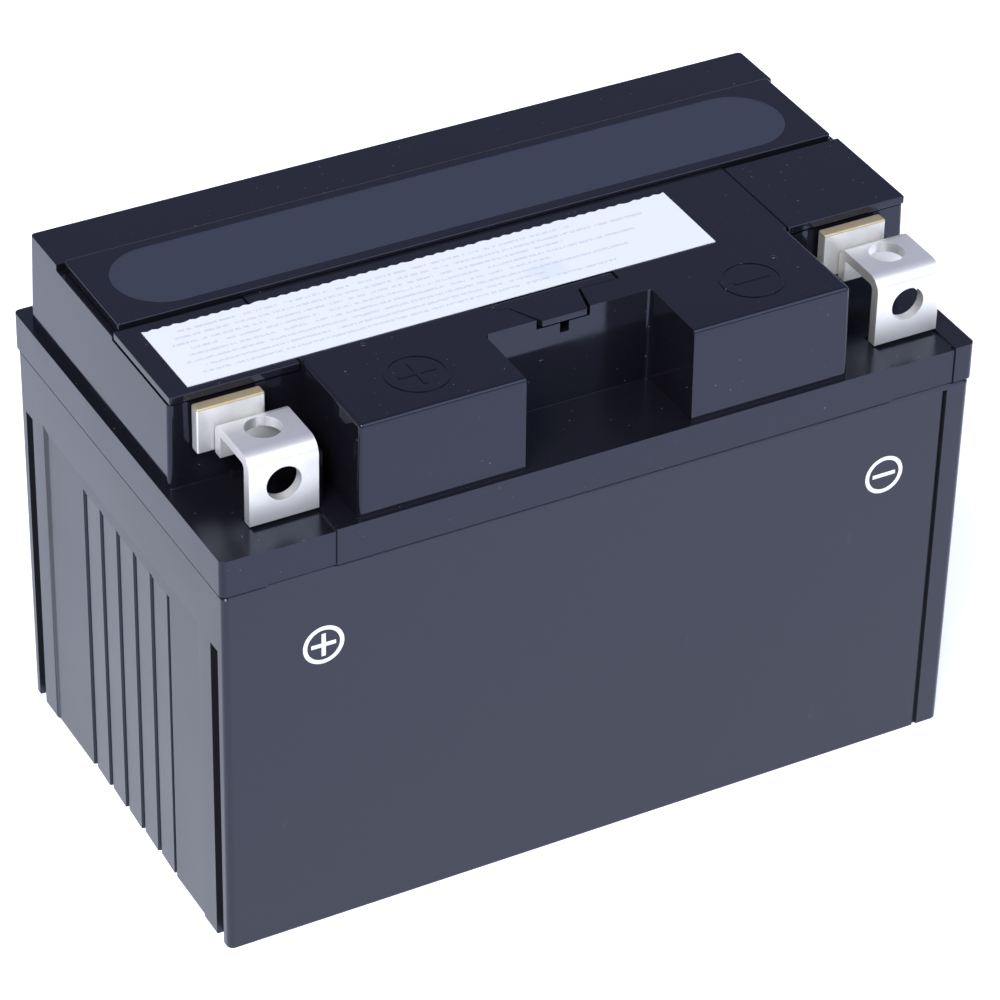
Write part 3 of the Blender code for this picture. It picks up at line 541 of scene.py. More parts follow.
class Finish:
    """A material under construction."""

    def __init__(self, name, colour, roughness, metallic=0.0):
        self.material = bpy.data.materials.new(name)
        self.material.use_nodes = True
        self.material.diffuse_color = (*colour, 1.0)
        self.tree = self.material.node_tree
        self.shader = self.tree.nodes["Principled BSDF"]
        self.shader.inputs["Base Color"].default_value = (*colour, 1.0)
        self.shader.inputs["Roughness"].default_value = roughness
        self.shader.inputs["Metallic"].default_value = metallic
        self.colour = (*colour, 1.0)

    def node(self, kind, settings=(), sockets=(), output=0):
        """Adds a node of a type, sets it, feeds its sockets and returns one output."""
        made = self.tree.nodes.new("ShaderNode" + kind)
        for name, value in dict(settings).items():
            if name == "stops":
                self.set_stops(made.color_ramp, value)
            else:
                setattr(made, name, value)
        for key, value in dict(sockets).items():
            feed(self.tree, made.inputs[key], value)
        return Signal(self.tree, made.outputs[output])

    @staticmethod
    def set_stops(ramp, stops):
        """Gives a colour ramp its stops as (position, grey level)."""
        while len(ramp.elements) < len(stops):
            ramp.elements.new(1.0)
        for element, (position, level) in zip(ramp.elements, stops):
            element.position = position
            element.color = (level, level, level, 1.0)

    def mirror(self, level, colour):
        """Sets how strongly and in which colour a plastic mirrors the room."""
        self.shader.inputs["Specular IOR Level"].default_value = level
        self.shader.inputs["Specular Tint"].default_value = (*colour, 1.0)

    def object_place(self):
        """The object coordinate as one vector signal."""
        return self.node("TexCoord", output="Object")

    def axes(self):
        """The object coordinate's X, Y and Z in millimetres."""
        spot = self.object_place()
        parts = self.node("SeparateXYZ", sockets={0: spot})
        outputs = parts.socket.node.outputs
        return [Signal(self.tree, socket) * 1000.0 for socket in outputs]

    def noise(self, scale, detail=3.0, roughness=0.5, stretch=(1.0, 1.0, 1.0)):
        """Noise with features of about 1 / scale metres, as a value from 0 to 1."""
        spot = self.node("Mapping", sockets={"Vector": self.object_place(), "Scale": stretch})
        return self.node("TexNoise", sockets={"Vector": spot, "Scale": scale, "Detail": detail,
                                              "Roughness": roughness})

    def ramp(self, value, stops):
        """A value through a grey ramp."""
        return self.node("ValToRGB", {"stops": stops}, {0: value})

    def blend(self, share, first, second):
        """A colour between two colours."""
        return self.node("Mix", {"data_type": "RGBA"}, {0: share, 6: first, 7: second}, output=2)

    def bump(self, height, strength, distance, under=None):
        """A bump's normal, on top of an earlier one where given."""
        sockets = {"Strength": strength, "Distance": distance, "Height": height}
        if under is not None:
            sockets["Normal"] = under
        return self.node("Bump", sockets=sockets)

    def drive(self, **inputs):
        """Feeds the shader's sockets; an underscore in a name stands for a space."""
        for name, value in inputs.items():
            feed(self.tree, self.shader.inputs[name.replace("_", " ")], value)
        return self.material


def case_finish(colours):
    """Satin black plastic with a fine moulded grain, soft waves and a few pale scuffs."""
    work = Finish("case_plastic", colours.case, 0.24)
    work.mirror(CASE_MIRROR, colours.mirror)
    across, _, up = work.axes()
    grain = work.noise(2600.0, 2.0)
    waves = work.noise(26.0, 1.0)
    patches = work.noise(55.0, 4.0, 0.6)
    scratches = work.noise(420.0, 3.0, 0.7, (0.35, 1.0, 0.08))
    worn = work.ramp(patches, [(0.52, 0.0), (0.64, 1.0)])
    scuffed = work.ramp(scratches, [(0.66, 0.0), (0.74, 1.0)]) * worn
    rubbed = abs(across - SCUFF_MIDDLE) < SCUFF_HALF
    haze = scuffed * (rubbed * 0.10 + 0.04) * (up > SCUFF_FOOT)
    pale = (0.16, 0.17, 0.19, 1.0)
    normal = work.bump(grain, 0.06, 0.00006)
    normal = work.bump(waves, 0.05, 0.0006, normal)
    return work.drive(Base_Color=work.blend(haze, work.colour, pale),
                      Roughness=patches * 0.10 + 0.19 + haze, Normal=normal)


def lid_finish(colours):
    """Polished black plastic with faint smears and a few specks of dust."""
    work = Finish("lid_plastic", colours.lid, 0.07)
    work.mirror(LID_MIRROR, colours.mirror)
    smears = work.noise(70.0, 4.0, 0.6)
    waves = work.noise(32.0, 1.0)
    dust = work.ramp(work.noise(1500.0, 1.0), [(0.775, 0.0), (0.80, 1.0)])
    grey = (0.22, 0.23, 0.25, 1.0)
    ledge = work.axes()[2] < colours.dull_ledge / MM
    normal = work.bump(waves, 0.05, 0.0005)
    return work.drive(Base_Color=work.blend(dust * 0.35, work.colour, grey),
                      Roughness=work.ramp(smears, [(0.45, 0.055), (0.75, 0.14)]) + dust * 0.3 + ledge * 0.16,
                      Normal=normal)


def strip_finish(colours, sizes):
    """The strip's polished plastic, with a matte field that has round ends."""
    work = Finish("strip_plastic", colours.lid, 0.08)
    work.mirror(LID_MIRROR, colours.mirror)
    across, along, up = work.axes()
    middle = (STRIP_LOW.y + STRIP_HIGH.y) / 2 / MM
    reach = (sizes.field_reach - sizes.field_half) / MM
    past_end = (abs(across) - reach).top(0.0)
    beside = along - middle
    distance = (past_end * past_end + beside * beside).root()
    field = (distance < sizes.field_half / MM) * (up > STRIP_HIGH.z / MM - 0.3)
    grain = work.noise(3200.0, 2.0)
    smears = work.noise(80.0, 4.0, 0.6)
    cloud = work.noise(38.0, 3.0)
    matte = work.blend(cloud * 0.35, (*colours.field, 1.0), shaded(colours.field, 0.7))
    normal = work.bump(grain * field, 0.20, 0.00008)
    return work.drive(Base_Color=work.blend(field, work.colour, matte),
                      Roughness=field * (cloud * 0.1 + 0.38) + smears * 0.06 + 0.05, Normal=normal)


def label_finish(colours):
    """White paper with rows of faint print that is too small to read."""
    work = Finish("label_paper", colours.paper, 0.55)
    across, along, up = work.axes()
    row = (along - LABEL_LOW.y / MM) / ROW_PITCH
    in_row = row % 1.0
    number = row.floor()
    line = (in_row > 0.30) * (in_row < 0.66)
    words = work.node("CombineXYZ", sockets={0: across * 0.5, 1: number * 7.3, 2: 0.0})
    letters = work.node("CombineXYZ", sockets={0: across * 2.6, 1: number * 5.1 + in_row * 1.6, 2: 0.0})
    word = work.node("TexNoise", sockets={"Vector": words, "Scale": 1.0, "Detail": 1.0})
    letter = work.node("TexNoise", sockets={"Vector": letters, "Scale": 1.0, "Detail": 1.0})
    start = (number % 3.0) * 1.3 + LABEL_LOW.x / MM + 3.0
    end = LABEL_HIGH.x / MM - 4.0 - (number * 13.7) % 31.0
    in_line = (across > start) * (across < end) * (row > FIRST_ROW) * (row < LAST_ROW)
    printed = line * (word > 0.38) * (letter > 0.44) * in_line
    fibre = work.noise(1900.0, 3.0)
    paper = work.blend(fibre, (*colours.paper, 1.0), shaded(colours.paper, 0.97))
    print_colour = (*colours.label_print, 1.0)
    beside = (across - SMUDGE[0]) / SMUDGE_REACH[0]
    behind = (along - SMUDGE[1]) / SMUDGE_REACH[1]
    smudge = work.ramp(beside * beside + behind * behind, [(0.35, 1.0), (1.0, 0.0)])
    paper = work.blend(smudge * (fibre * 0.4 + 0.15), paper, (*colours.smudge, 1.0))
    return work.drive(Base_Color=work.blend(printed * (up > LABEL_LOW.z / MM) * 0.75, paper, print_colour),
                      Normal=work.bump(fibre, 0.10, 0.00005))


def ink_finish(colours):
    """White ink with slightly uneven cover."""
    work = Finish("white_ink", colours.ink, 0.5)
    cover = work.noise(1400.0, 3.0)
    thin = shaded(colours.ink, 0.82)
    return work.drive(Base_Color=work.blend(work.ramp(cover, [(0.45, 0.0), (0.75, 1.0)]), work.colour, thin),
                      Roughness=cover * 0.2 + 0.4)


def tin_finish(colours):
    """Tinned metal with fine rolling marks, dull patches and a flux stain on the risers."""
    work = Finish("tinned_metal", colours.tin, 0.4, 0.74)
    _, along, up = work.axes()
    rolled = work.noise(900.0, 3.0, 0.6, (0.10, 1.0, 1.0))
    patches = work.noise(130.0, 4.0, 0.6)
    dull = work.ramp(patches, [(0.40, 0.0), (0.70, 1.0)])
    riser_low, riser_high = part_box("positive_riser")
    on_top = (along > riser_low.y / MM) * (up > riser_high.z / MM - STAIN_DEPTH)
    stained = on_top * (patches * 0.5 + 0.6).low(1.0)
    grey = shaded(colours.tin, 0.78)
    metal = work.blend(dull * 0.5, work.colour, grey)
    normal = work.bump(rolled, 0.10, 0.00006)
    return work.drive(Base_Color=work.blend(stained, metal, (*colours.flux, 1.0)),
                      Roughness=dull * 0.12 + rolled * 0.08 + 0.33 + stained * 0.15, Normal=normal)


def mottled_finish(name, colour, roughness, scale, depth, metallic=0.0, contrast=0.25):
    """A cast, pressed or moulded surface with mottled colour and fine relief."""
    work = Finish(name, colour, roughness, metallic)
    mottle = work.noise(scale / 6, 4.0, 0.6)
    grain = work.noise(scale, 3.0)
    dark = shaded(colour, 1 - contrast)
    return work.drive(Base_Color=work.blend(mottle, work.colour, dark),
                      Roughness=grain * 0.2 + (roughness - 0.1), Normal=work.bump(grain, 0.35, depth))


def fibre_finish(name, colour):
    """Pressed white glass fibres that lie mostly level."""
    work = Finish(name, colour, 0.85)
    strands = work.noise(1500.0, 4.0, 0.7, (1.0, 0.15, 1.0))
    clumps = work.noise(240.0, 3.0)
    shade = shaded(colour, 0.80)
    return work.drive(Base_Color=work.blend(strands * clumps * 1.6, work.colour, shade),
                      Roughness=strands * 0.2 + 0.75, Normal=work.bump(strands, 0.5, 0.0002))


def cell_tools(sizes, high):
    """The cutters for the six cells, from the container's floor up."""
    half = sizes.cell_width / 2
    return [add_block("cell", (centre - half, -sizes.cell_half_depth, sizes.floor),
                      (centre + half, sizes.cell_half_depth, high)) for centre in CELL_CENTRES]


def end_panel_tool(sizes, wall):
    """The cutter for the +X end's sunk panel, sloped at its sides and under the collar."""
    depth = sizes.panel_depth
    near = wall - depth
    far = wall + 2 * MM
    growth = (far - near) / depth
    reach = sizes.panel_half + sizes.panel_slope * growth
    crown = sizes.collar_low + sizes.collar_slope * growth
    tool = add_block("end_panel", (near, -reach, -OVERSHOOT), (far, reach, crown))
    resize_points(tool, lambda spot: spot.x < near + TOUCH, (1, sizes.panel_half / reach, 1), (near, 0, 0))
    shift_points(tool, lambda spot: spot.x < near + TOUCH and spot.z > 0, (0, 0, sizes.collar_low - crown))
    return tool


def flute_tools(sizes, wall):
    """The cutters for the +X end's flutes and for the leaning facets between them."""
    field = wall - sizes.panel_depth
    top = sizes.collar_low - sizes.flute_drop
    tools = []
    for index in range(sizes.flutes - 1):
        front = sizes.flute_rear - (index + 1) * sizes.flute_pitch
        tool = add_block("facet", (field - sizes.facet_rise, front, -OVERSHOOT),
                         (wall + MM, front + sizes.flute_pitch, top))
        shift_points(tool, lambda spot: spot.x < field and spot.y < front + MM, (sizes.facet_rise, 0, 0))
        tools.append(tool)
    for index in range(sizes.flutes):
        middle = sizes.flute_rear - index * sizes.flute_pitch
        floor = field - sizes.flute_depth
        tool = add_block("flute", (floor, middle - sizes.flute_width / 2, -OVERSHOOT),
                         (field + MM / 5, middle + sizes.flute_width / 2, top + MM / 4))
        narrow = sizes.flute_floor / sizes.flute_width
        resize_points(tool, lambda spot: spot.x < floor + TOUCH, (1, narrow, 1), (floor, middle, 0))
        tools.append(tool)
    return tools


def corner_groove_tools(sizes, wall):
    """The cutters for the two grooves beside the +X end's corners."""
    tools = []
    for side in (-1, 1):
        middle = side * sizes.groove_middle
        half = sizes.groove_width / 2
        tool = add_block("corner_groove", (wall - sizes.groove_depth, middle - half, -OVERSHOOT),
                         (wall + 2 * MM, middle + half, sizes.collar_low))
        tools.append(tool)
    return tools


def mirror_to_other_end(piece):
    """Mirrors a piece across the battery's middle and turns its faces outwards again."""
    edit(piece, "VERT", lambda spot: True)
    bpy.ops.transform.resize(value=(-1, 1, 1), center_override=(0, 0, 0))
    bpy.ops.mesh.select_all(action="SELECT")
    bpy.ops.mesh.normals_make_consistent(inside=False)
    leave_edit()


def build_container(sizes, colours):
    """The ribbed container with its six cells open at the top."""
    case = add_block("case", (-sizes.half_length, -sizes.half_depth, CASE_LOW.z),
                     (sizes.half_length, sizes.half_depth, CASE_HIGH.z))
    lean = (1 - sizes.end_draft / sizes.half_length, 1 - sizes.front_draft / sizes.half_depth, 1)
    resize_points(case, lambda spot: spot.z < TOUCH, lean, (0, 0, 0))
    bevel_where(case, upright, sizes.corner, 6)
    bevel_where(case, lambda start, end: max(start.z, end.z) < TOUCH, sizes.foot_round, 3)
    bevel_where(case, lambda start, end: min(start.z, end.z) > CASE_HIGH.z - TOUCH, sizes.rim_round, 1)
    wall = sizes.half_length - sizes.end_draft / 2
    for end in (1, -1):
        tools = [end_panel_tool(sizes, wall)] + flute_tools(sizes, wall) + corner_groove_tools(sizes, wall)
        if end < 0:
            for tool in tools:
                mirror_to_other_end(tool)
        carve(case, tools)
    half = sizes.front_groove_width / 2
    groove_floor = sizes.front_draft + sizes.front_groove_depth - sizes.half_depth
    carve(case, [add_block("front_groove", (sizes.front_groove - half, -sizes.half_depth - MM, -OVERSHOOT),
                           (sizes.front_groove + half, groove_floor, CASE_HIGH.z - MM))])
    soften(case, sizes.edge_round, 2)
    carve(case, cell_tools(sizes, CASE_HIGH.z + OVERSHOOT))
    for index in range(CELLS - 1):
        low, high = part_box("cell_link_%d" % (index + 1))
        centre = (low + high) / 2
        carve(case, [add_rod("link_hole", (centre.y, centre.z), sizes.link_room, centre.x - 2 * MM,
                             centre.x + 2 * MM, "X", 24)])
    finish_shading(case, 0.004 * MM)
    hand_over(case, "ribbed_container", "battery", case_finish(colours), ["container"])


def ring_and_bars(name, radius, line, low, high, crossed):
    """A ring with one bar across it, or two crossed bars, as one raised mark about the Z axis."""
    mark = add_rod(name, (0, 0), radius, low, high, sides=64)
    carve(mark, [add_rod("inner", (0, 0), radius - line, low - MM, high + MM, sides=64)])
    reach = radius * BAR_REACH
    bars = [add_block("bar", (-reach, -line / 2, low), (reach, line / 2, high))]
    if crossed:
        weld(bars[0], [add_block("upright_bar", (-line / 2, -reach, low), (line / 2, reach, high))])
    make_active(mark)
    bars[0].select_set(True)
    bpy.ops.object.join()
    return mark


def build_printed_marks(top, colours, case):
    """The white plus and minus that are printed on the container's front."""
    material = ink_finish(colours)
    lean = math.atan(case.front_draft / CASE_HIGH.z)
    film = top.print_film
    for side in SIDES:
        low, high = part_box(side + "_terminal")
        middle = (low.x + high.x) / 2
        offset = top.print_plus_shift if side == "positive" else top.print_minus_shift
        wall = (CASE_HIGH.z - top.print_height) * math.tan(lean) - case.half_depth
        mark = ring_and_bars("print", top.print_radius, top.print_line, 0.0, film, side == "positive")
        mark.rotation_euler.x = math.pi / 2 + lean
        mark.location = (middle + offset, wall - film / 4, top.print_height)
        make_active(mark)
        bpy.ops.object.transform_apply(location=True, rotation=True, scale=True)
        finish_shading(mark)
        mark.name = side + "_printed_mark"
        mark.data.materials.append(material)
        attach(mark, "battery")


def lean_walls(block, lean, foot, crown):
    """Leans a block's upright faces, so that it is wider at its foot."""
    shift = (crown - foot) * math.tan(lean)
    corners = [vert.co for vert in block.data.vertices]
    middle = sum(corners, Vector()) / len(corners)
    half = corners[0] - middle
    factors = (1 + shift / abs(half.x), 1 + shift / abs(half.y), 1)
    resize_points(block, lambda spot: spot.z < foot + TOUCH, factors, middle)


def lid_envelope(sizes):
    """The flange, the raised body and the two blocks as one solid with rounded edges."""
    lid = add_block("lid_shape", LID_LOW, (LID_HIGH.x, LID_HIGH.y, sizes.flange_top))
    bevel_where(lid, upright, sizes.flange_corner, 6)
    root = sizes.flange_top - 2 * MM
    top = LID_HIGH.z
    body = add_block("body", (-sizes.body_half, sizes.body_front, root),
                     (sizes.body_half, sizes.body_rear, top))
    lean_walls(body, sizes.draft, root, top)
    bevel_where(body, upright, sizes.body_corner, 4)
    blocks = add_block("blocks", (-sizes.block_outer, sizes.block_front, root),
                       (sizes.block_outer, -sizes.block_front, top))
    lean_walls(blocks, sizes.draft, root, top)
    bevel_where(blocks, upright, sizes.block_corner, 3)
    bevel_where(blocks, lambda start, end: min(start.z, end.z) > top - TOUCH, sizes.block_round, 4)
    carve(blocks, [add_block("behind", (-LID_HIGH.x, 0, root - MM), (LID_HIGH.x, LID_HIGH.y, top + MM))])
    weld(lid, [body, blocks])
    gap = add_block("gap", (-sizes.block_inner, 2 * sizes.block_front - sizes.gap_rear, sizes.flange_top),
                    (sizes.block_inner, sizes.gap_rear, top + OVERSHOOT))
    bevel_where(gap, upright, sizes.block_corner, 4)
    carve(lid, [gap])
    terminal_low, terminal_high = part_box("positive_terminal")
    rib_low = terminal_high.x + FIT
    rib = add_block("rib", (rib_low, terminal_low.y + sizes.rib_setback, root),
                    (rib_low + sizes.rib_width, sizes.body_front + MM, top - sizes.rib_drop))
    weld(lid, [rib])
    soften(lid, sizes.edge_round, 4)
    return lid


def terminal_lip_tools(sizes):
    """The cutters for the lowered lip and the skirt patch in front of each terminal."""
    tools = []
    for side in SIDES:
        low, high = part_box(side + "_terminal")
        middle = (low.x + high.x) / 2
        left = middle - sizes.lip_half
        right = middle + sizes.lip_half
        lip = add_block("lip", (left, LID_LOW.y - MM, sizes.flange_top - sizes.lip_drop),
                        (right, sizes.lip_rear, sizes.flange_top + MM))
        skirt = add_block("skirt", (left, LID_LOW.y - MM, LID_LOW.z - MM),
                          (right, LID_LOW.y + sizes.skirt_recess, sizes.flange_top))
        tools += [lip, skirt]
    return tools


def lid_seat_tools(sizes):
    """The cutters for the seats of the strip and of both terminal covers."""
    seat = LID_HIGH.z - sizes.seat_depth
    tools = [add_block("strip_seat", (-LID_HIGH.x, STRIP_LOW.y - FIT, seat),
                       (LID_HIGH.x, STRIP_HIGH.y + FIT, LID_HIGH.z + MM))]
    for side in SIDES:
        low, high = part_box(side + "_cover")
        outward = -LID_HIGH.x if side == "positive" else LID_HIGH.x
        inner = high.x + FIT if side == "positive" else low.x - FIT
        left, right = sorted((outward, inner))
        tools.append(add_block("cover_seat", (left, sizes.body_front - 2 * MM, low.z - FIT),
                               (right, high.y + FIT, LID_HIGH.z + MM)))
    return tools


def lid_well_tools(sizes, metal):
    """The cutters for the potting wells, the tongues' slots and the poles' holes."""
    tools = []
    for side in SIDES:
        low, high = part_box(side + "_resin")
        seal_low, seal_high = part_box(side + "_pole_seal")
        centre = (seal_low + seal_high) / 2
        tools.append(add_block("well", (low.x - FIT, low.y - FIT, sizes.well_floor),
                               (high.x + FIT, high.y + FIT, LID_HIGH.z + MM)))
        half = metal.tongue_width / 2 + FIT
        tools.append(add_block("slot", (centre.x - half, sizes.body_front - MM, metal.tongue_low - FIT),
                               (centre.x + half, low.y + MM, metal.tongue_high + FIT)))
        tools.append(add_rod("pole_hole", centre.xy, metal.pole_radius + FIT, sizes.headspace - OVERSHOOT,
                             sizes.well_floor + MM, sides=24))
    return tools


def lid_hollow_tools(sizes):
    """The cutters for the hollows over the cells, under the plugs and in the blocks."""
    half = (CELL_CENTRES[1] - CELL_CENTRES[0]) / 2 - sizes.wall / 2
    reach = sizes.body_half - sizes.wall
    tools = []
    for centre in CELL_CENTRES:
        left = max(centre - half, -reach)
        right = min(centre + half, reach)
        tools.append(add_block("headspace", (left, LID_LOW.y + sizes.wall, LID_LOW.z - MM),
                               (right, LID_HIGH.y - sizes.wall, sizes.headspace)))
        tools.append(add_block("port_space", (left, STRIP_LOW.y + sizes.wall, sizes.headspace - MM),
                               (right, sizes.body_rear - sizes.wall, sizes.roof)))
        tools.append(add_rod("port", (centre, (STRIP_LOW.y + STRIP_HIGH.y) / 2), sizes.port_radius,
                             sizes.roof - MM, LID_HIGH.z + MM, sides=40))
    inner = (CELL_CENTRES[3] + CELL_CENTRES[4]) / 2 + sizes.wall / 2
    for side in (-1, 1):
        left, right = sorted((side * inner, side * (sizes.block_outer - sizes.wall)))
        tools.append(add_block("block_space", (left, sizes.block_front + sizes.wall, sizes.headspace - MM),
                               (right, sizes.body_front, LID_HIGH.z - sizes.wall)))
    return tools


def lid_valve_tools(sizes):
    """The cutters for the relief valve, its bore, the flame filter, the vent cover and the gas slot."""
    cap_low, cap_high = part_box("relief_valve_cap")
    filter_low, filter_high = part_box("flame_filter")
    centre = (cap_low + cap_high) / 2
    well = add_rod("valve_well", centre.xy, sizes.valve_well, sizes.valve_floor, LID_HIGH.z + MM)
    carve(well, [add_rod("tube", centre.xy, sizes.valve_well / 2, sizes.valve_floor - MM, sizes.valve_seat)])
    tools = [well]
    tools.append(add_rod("bore", centre.xy, sizes.valve_well / 4, sizes.headspace - OVERSHOOT,
                         sizes.valve_seat + MM, sides=24))
    filter_radius = (filter_high.x - filter_low.x) / 2 + FIT
    tools.append(add_rod("filter_seat", centre.xy, filter_radius, filter_low.z - FIT, LID_HIGH.z + MM))
    half = sizes.vent_slot / 2
    slot_low = (sizes.vent_middle - half, sizes.gap_rear - 2 * MM, filter_low.z - FIT * 2)
    slot_high = (sizes.vent_middle + half, centre.y, LID_HIGH.z + MM)
    tools.append(add_block("gas_slot", slot_low, slot_high))
    tools.append(vent_plate("cover_seat", filter_high.z, LID_HIGH.z + MM, FIT))
    return tools


def vent_plate(name, low, high, grow):
    """The vent cover's outline: a wide plate that narrows in steps to a tongue at the gap."""
    cover_low, cover_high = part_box("vent_cover")
    plate = add_block(name, (cover_low.x - grow, VENT_FRONT - grow, low),
                      (cover_high.x + grow, cover_high.y + grow, high))
    cut_corner(plate, (cover_low.x - grow, VENT_CORNER), VENT_CORNER_FACING, low)
    root = VENT_FRONT + TONGUE_ROOT
    tongue = add_block("tongue", (TONGUE_LEFT - grow, cover_low.y - grow * 4, low),
                       (TONGUE_RIGHT + grow, root, high))
    shift_points(tongue, lambda spot: spot.y > root - MM and spot.x < 0, (-TONGUE_SPREAD_LEFT, 0, 0))
    shift_points(tongue, lambda spot: spot.y > root - MM and spot.x > 0, (TONGUE_SPREAD_RIGHT, 0, 0))
    weld(plate, [tongue])
    return plate


def cut_corner(piece, spot, normal, level):
    """Cuts a piece along an upright plane and closes the cut; the side that the normal points to goes."""
    edit(piece, "FACE", lambda middle, facing: True)
    bpy.ops.mesh.bisect(plane_co=(*spot, level), plane_no=normal, use_fill=True, clear_outer=True)
    leave_edit()


def raised_marks(top):
    """The raised plus and minus on the blocks' tops, and the two small gate marks."""
    marks = []
    for side, middle in (("positive", top.plus_x), ("negative", top.minus_x)):
        mark = ring_and_bars("raised", top.mark_radius, top.mark_line, LID_HIGH.z - MM / 2,
                             LID_HIGH.z + top.mark_height, side == "positive")
        shift_points(mark, lambda spot: True, (middle, top.mark_y, 0))
        marks.append(mark)
    for spot in GATES:
        clear_selection()
        bpy.ops.mesh.primitive_uv_sphere_add(segments=20, ring_count=10, radius=top.gate_radius,
                                             location=(*spot, LID_HIGH.z - top.gate_sink))
        marks.append(settle("gate"))
    return marks


def build_lid(sizes, metal, top, colours):
    """The stepped lid with its seats, wells, ports, hollows and raised marks."""
    lid = lid_envelope(sizes)
    carve(lid, terminal_lip_tools(sizes) + lid_seat_tools(sizes) + lid_well_tools(sizes, metal)
          + lid_valve_tools(sizes))
    weld(lid, raised_marks(top))
    carve(lid, lid_hollow_tools(sizes))
    soften(lid, sizes.fine_round, 2, 50)
    finish_shading(lid, 0.02 * MM)
    hand_over(lid, "stepped_lid", "battery", lid_finish(colours), ["lid"])


def build_terminal_covers(top):
    """The two plates that close the terminals' potting wells."""
    for side in SIDES:
        low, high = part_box(side + "_cover")
        if side == "positive":
            low.x = -top.cover_reach
        else:
            high.x = top.cover_reach
        cover = add_block("cover", low, high)
        soften(cover, top.plate_round, 3)
        finish_shading(cover)
        hand_over(cover, side + "_well_cover", "battery", bpy.data.materials["lid_plastic"],
                  [side + "_cover"])


def build_vent_cover(top):
    """The plate over the relief valve, with its tongue over the gas slot."""
    low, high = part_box("vent_cover")
    cover = vent_plate("vent", low.z, high.z, 0.0)
    soften(cover, top.plate_round, 2)
    finish_shading(cover)
    hand_over(cover, "valve_cover_plate", "battery", bpy.data.materials["lid_plastic"],
              ["vent_cover"])


def build_plug_strip(top, colours):
    """The strip across the top with its matte field and six grooved plugs."""
    seal_low, seal_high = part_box("plug_seal_1")
    body_low = LID_HIGH.z - top.strip_sink
    strip = add_block("strip", (-top.strip_reach, STRIP_LOW.y, body_low),
                      (top.strip_reach, STRIP_HIGH.y, STRIP_HIGH.z))
    middle = (STRIP_LOW.y + STRIP_HIGH.y) / 2
    bevel_where(strip, upright, 2 * top.strip_round, 3)
    bevel_where(strip, lambda start, end: min(start.z, end.z) > STRIP_HIGH.z - TOUCH, top.strip_round, 4)
    field = add_block("field", (-top.field_reach, middle - top.field_half, STRIP_HIGH.z - top.field_depth),
                      (top.field_reach, middle + top.field_half, STRIP_HIGH.z + MM))
    bevel_where(field, upright, top.field_half * 0.999, 20)
    carve(strip, [field])
    for centre in CELL_CENTRES:
        plug = add_rod("plug", (centre, middle), top.plug_radius, STRIP_LOW.z, body_low + MM / 2)
        bevel_where(plug, lambda start, end: max(start.z, end.z) < STRIP_LOW.z + TOUCH, top.plug_round, 2)
        groove = add_rod("groove", (centre, middle), top.plug_radius + MM, seal_low.z - FIT / 2,
                         seal_high.z + FIT / 2)
        neck = add_rod("neck", (centre, middle), top.plug_groove, seal_low.z - MM, seal_high.z + MM)
        carve(groove, [neck])
        carve(plug, [groove])
        weld(strip, [plug])
    finish_shading(strip)
    hand_over(strip, "filler_plug_strip", "filler_strip", strip_finish(colours, top),
              ["plug_strip"])


def build_label(top, colours):
    """The paper label, torn off a roll along its toothed rear edge."""
    label = add_block("label", LABEL_LOW, LABEL_HIGH)
    teeth = round((LABEL_HIGH.x - LABEL_LOW.x) / top.tooth)
    rear = LABEL_HIGH.y - TOUCH
    edit(label, "EDGE", lambda start, end: abs(start.x - end.x) > MM and min(start.y, end.y) > rear)
    bpy.ops.mesh.subdivide(number_cuts=2 * teeth - 1)
    leave_edit()
    step = (LABEL_HIGH.x - LABEL_LOW.x) / teeth / 2

    def in_notch(spot):
        """Whether a point on the rear edge is the bottom of a notch between two teeth."""
        count = round((spot.x - LABEL_LOW.x) / step)
        return spot.y > rear and count % 2 == 1

    shift_points(label, in_notch, (0, -top.tooth_depth, 0))
    finish_shading(label)
    hand_over(label, "paper_label", "battery", label_finish(colours), ["top_label"])


def strap_side(metal, low, high):
    """The strap's front leg, top and rear leg as one open sheet, bent by spinning its edge."""
    clear_selection()
    turn = math.pi / 2
    foot = low.z
    front = low.y + metal.metal / 2
    rear = high.y + metal.rear_shift - metal.metal / 2
    top = high.z - metal.metal / 2
    bend = metal.bend - metal.metal / 2
    tight = metal.rear_bend - metal.metal / 2
    width = high.x - low.x
    middle = (low.x + high.x) / 2
    leg = top - bend - foot
    bpy.ops.mesh.primitive_plane_add(size=1, location=(middle, front, foot + leg / 2), rotation=(turn, 0, 0))
    bpy.context.object.scale = (width, leg, 1)
    strap = settle("strap")
    edit(strap, "EDGE", lambda start, end: min(start.z, end.z) > foot + leg - TOUCH)
    bpy.ops.mesh.spin(steps=8, angle=turn, center=(middle, front + bend, foot + leg), axis=(1, 0, 0))
    bpy.ops.mesh.extrude_region_move(TRANSFORM_OT_translate={"value": (0, rear - tight - front - bend, 0)})
    bpy.ops.mesh.spin(steps=8, angle=turn, center=(middle, rear - tight, top - tight), axis=(1, 0, 0))
    bpy.ops.mesh.extrude_region_move(TRANSFORM_OT_translate={"value": (0, 0, metal.rear_foot - top + tight)})
    bpy.ops.mesh.select_all(action="SELECT")
    bpy.ops.mesh.remove_doubles(threshold=TOUCH / 5)
    bpy.ops.mesh.normals_make_consistent(inside=False)
    leave_edit()
    apply_modifier(strap, "SOLIDIFY", thickness=metal.metal, offset=0.0, use_even_offset=True)
    return strap


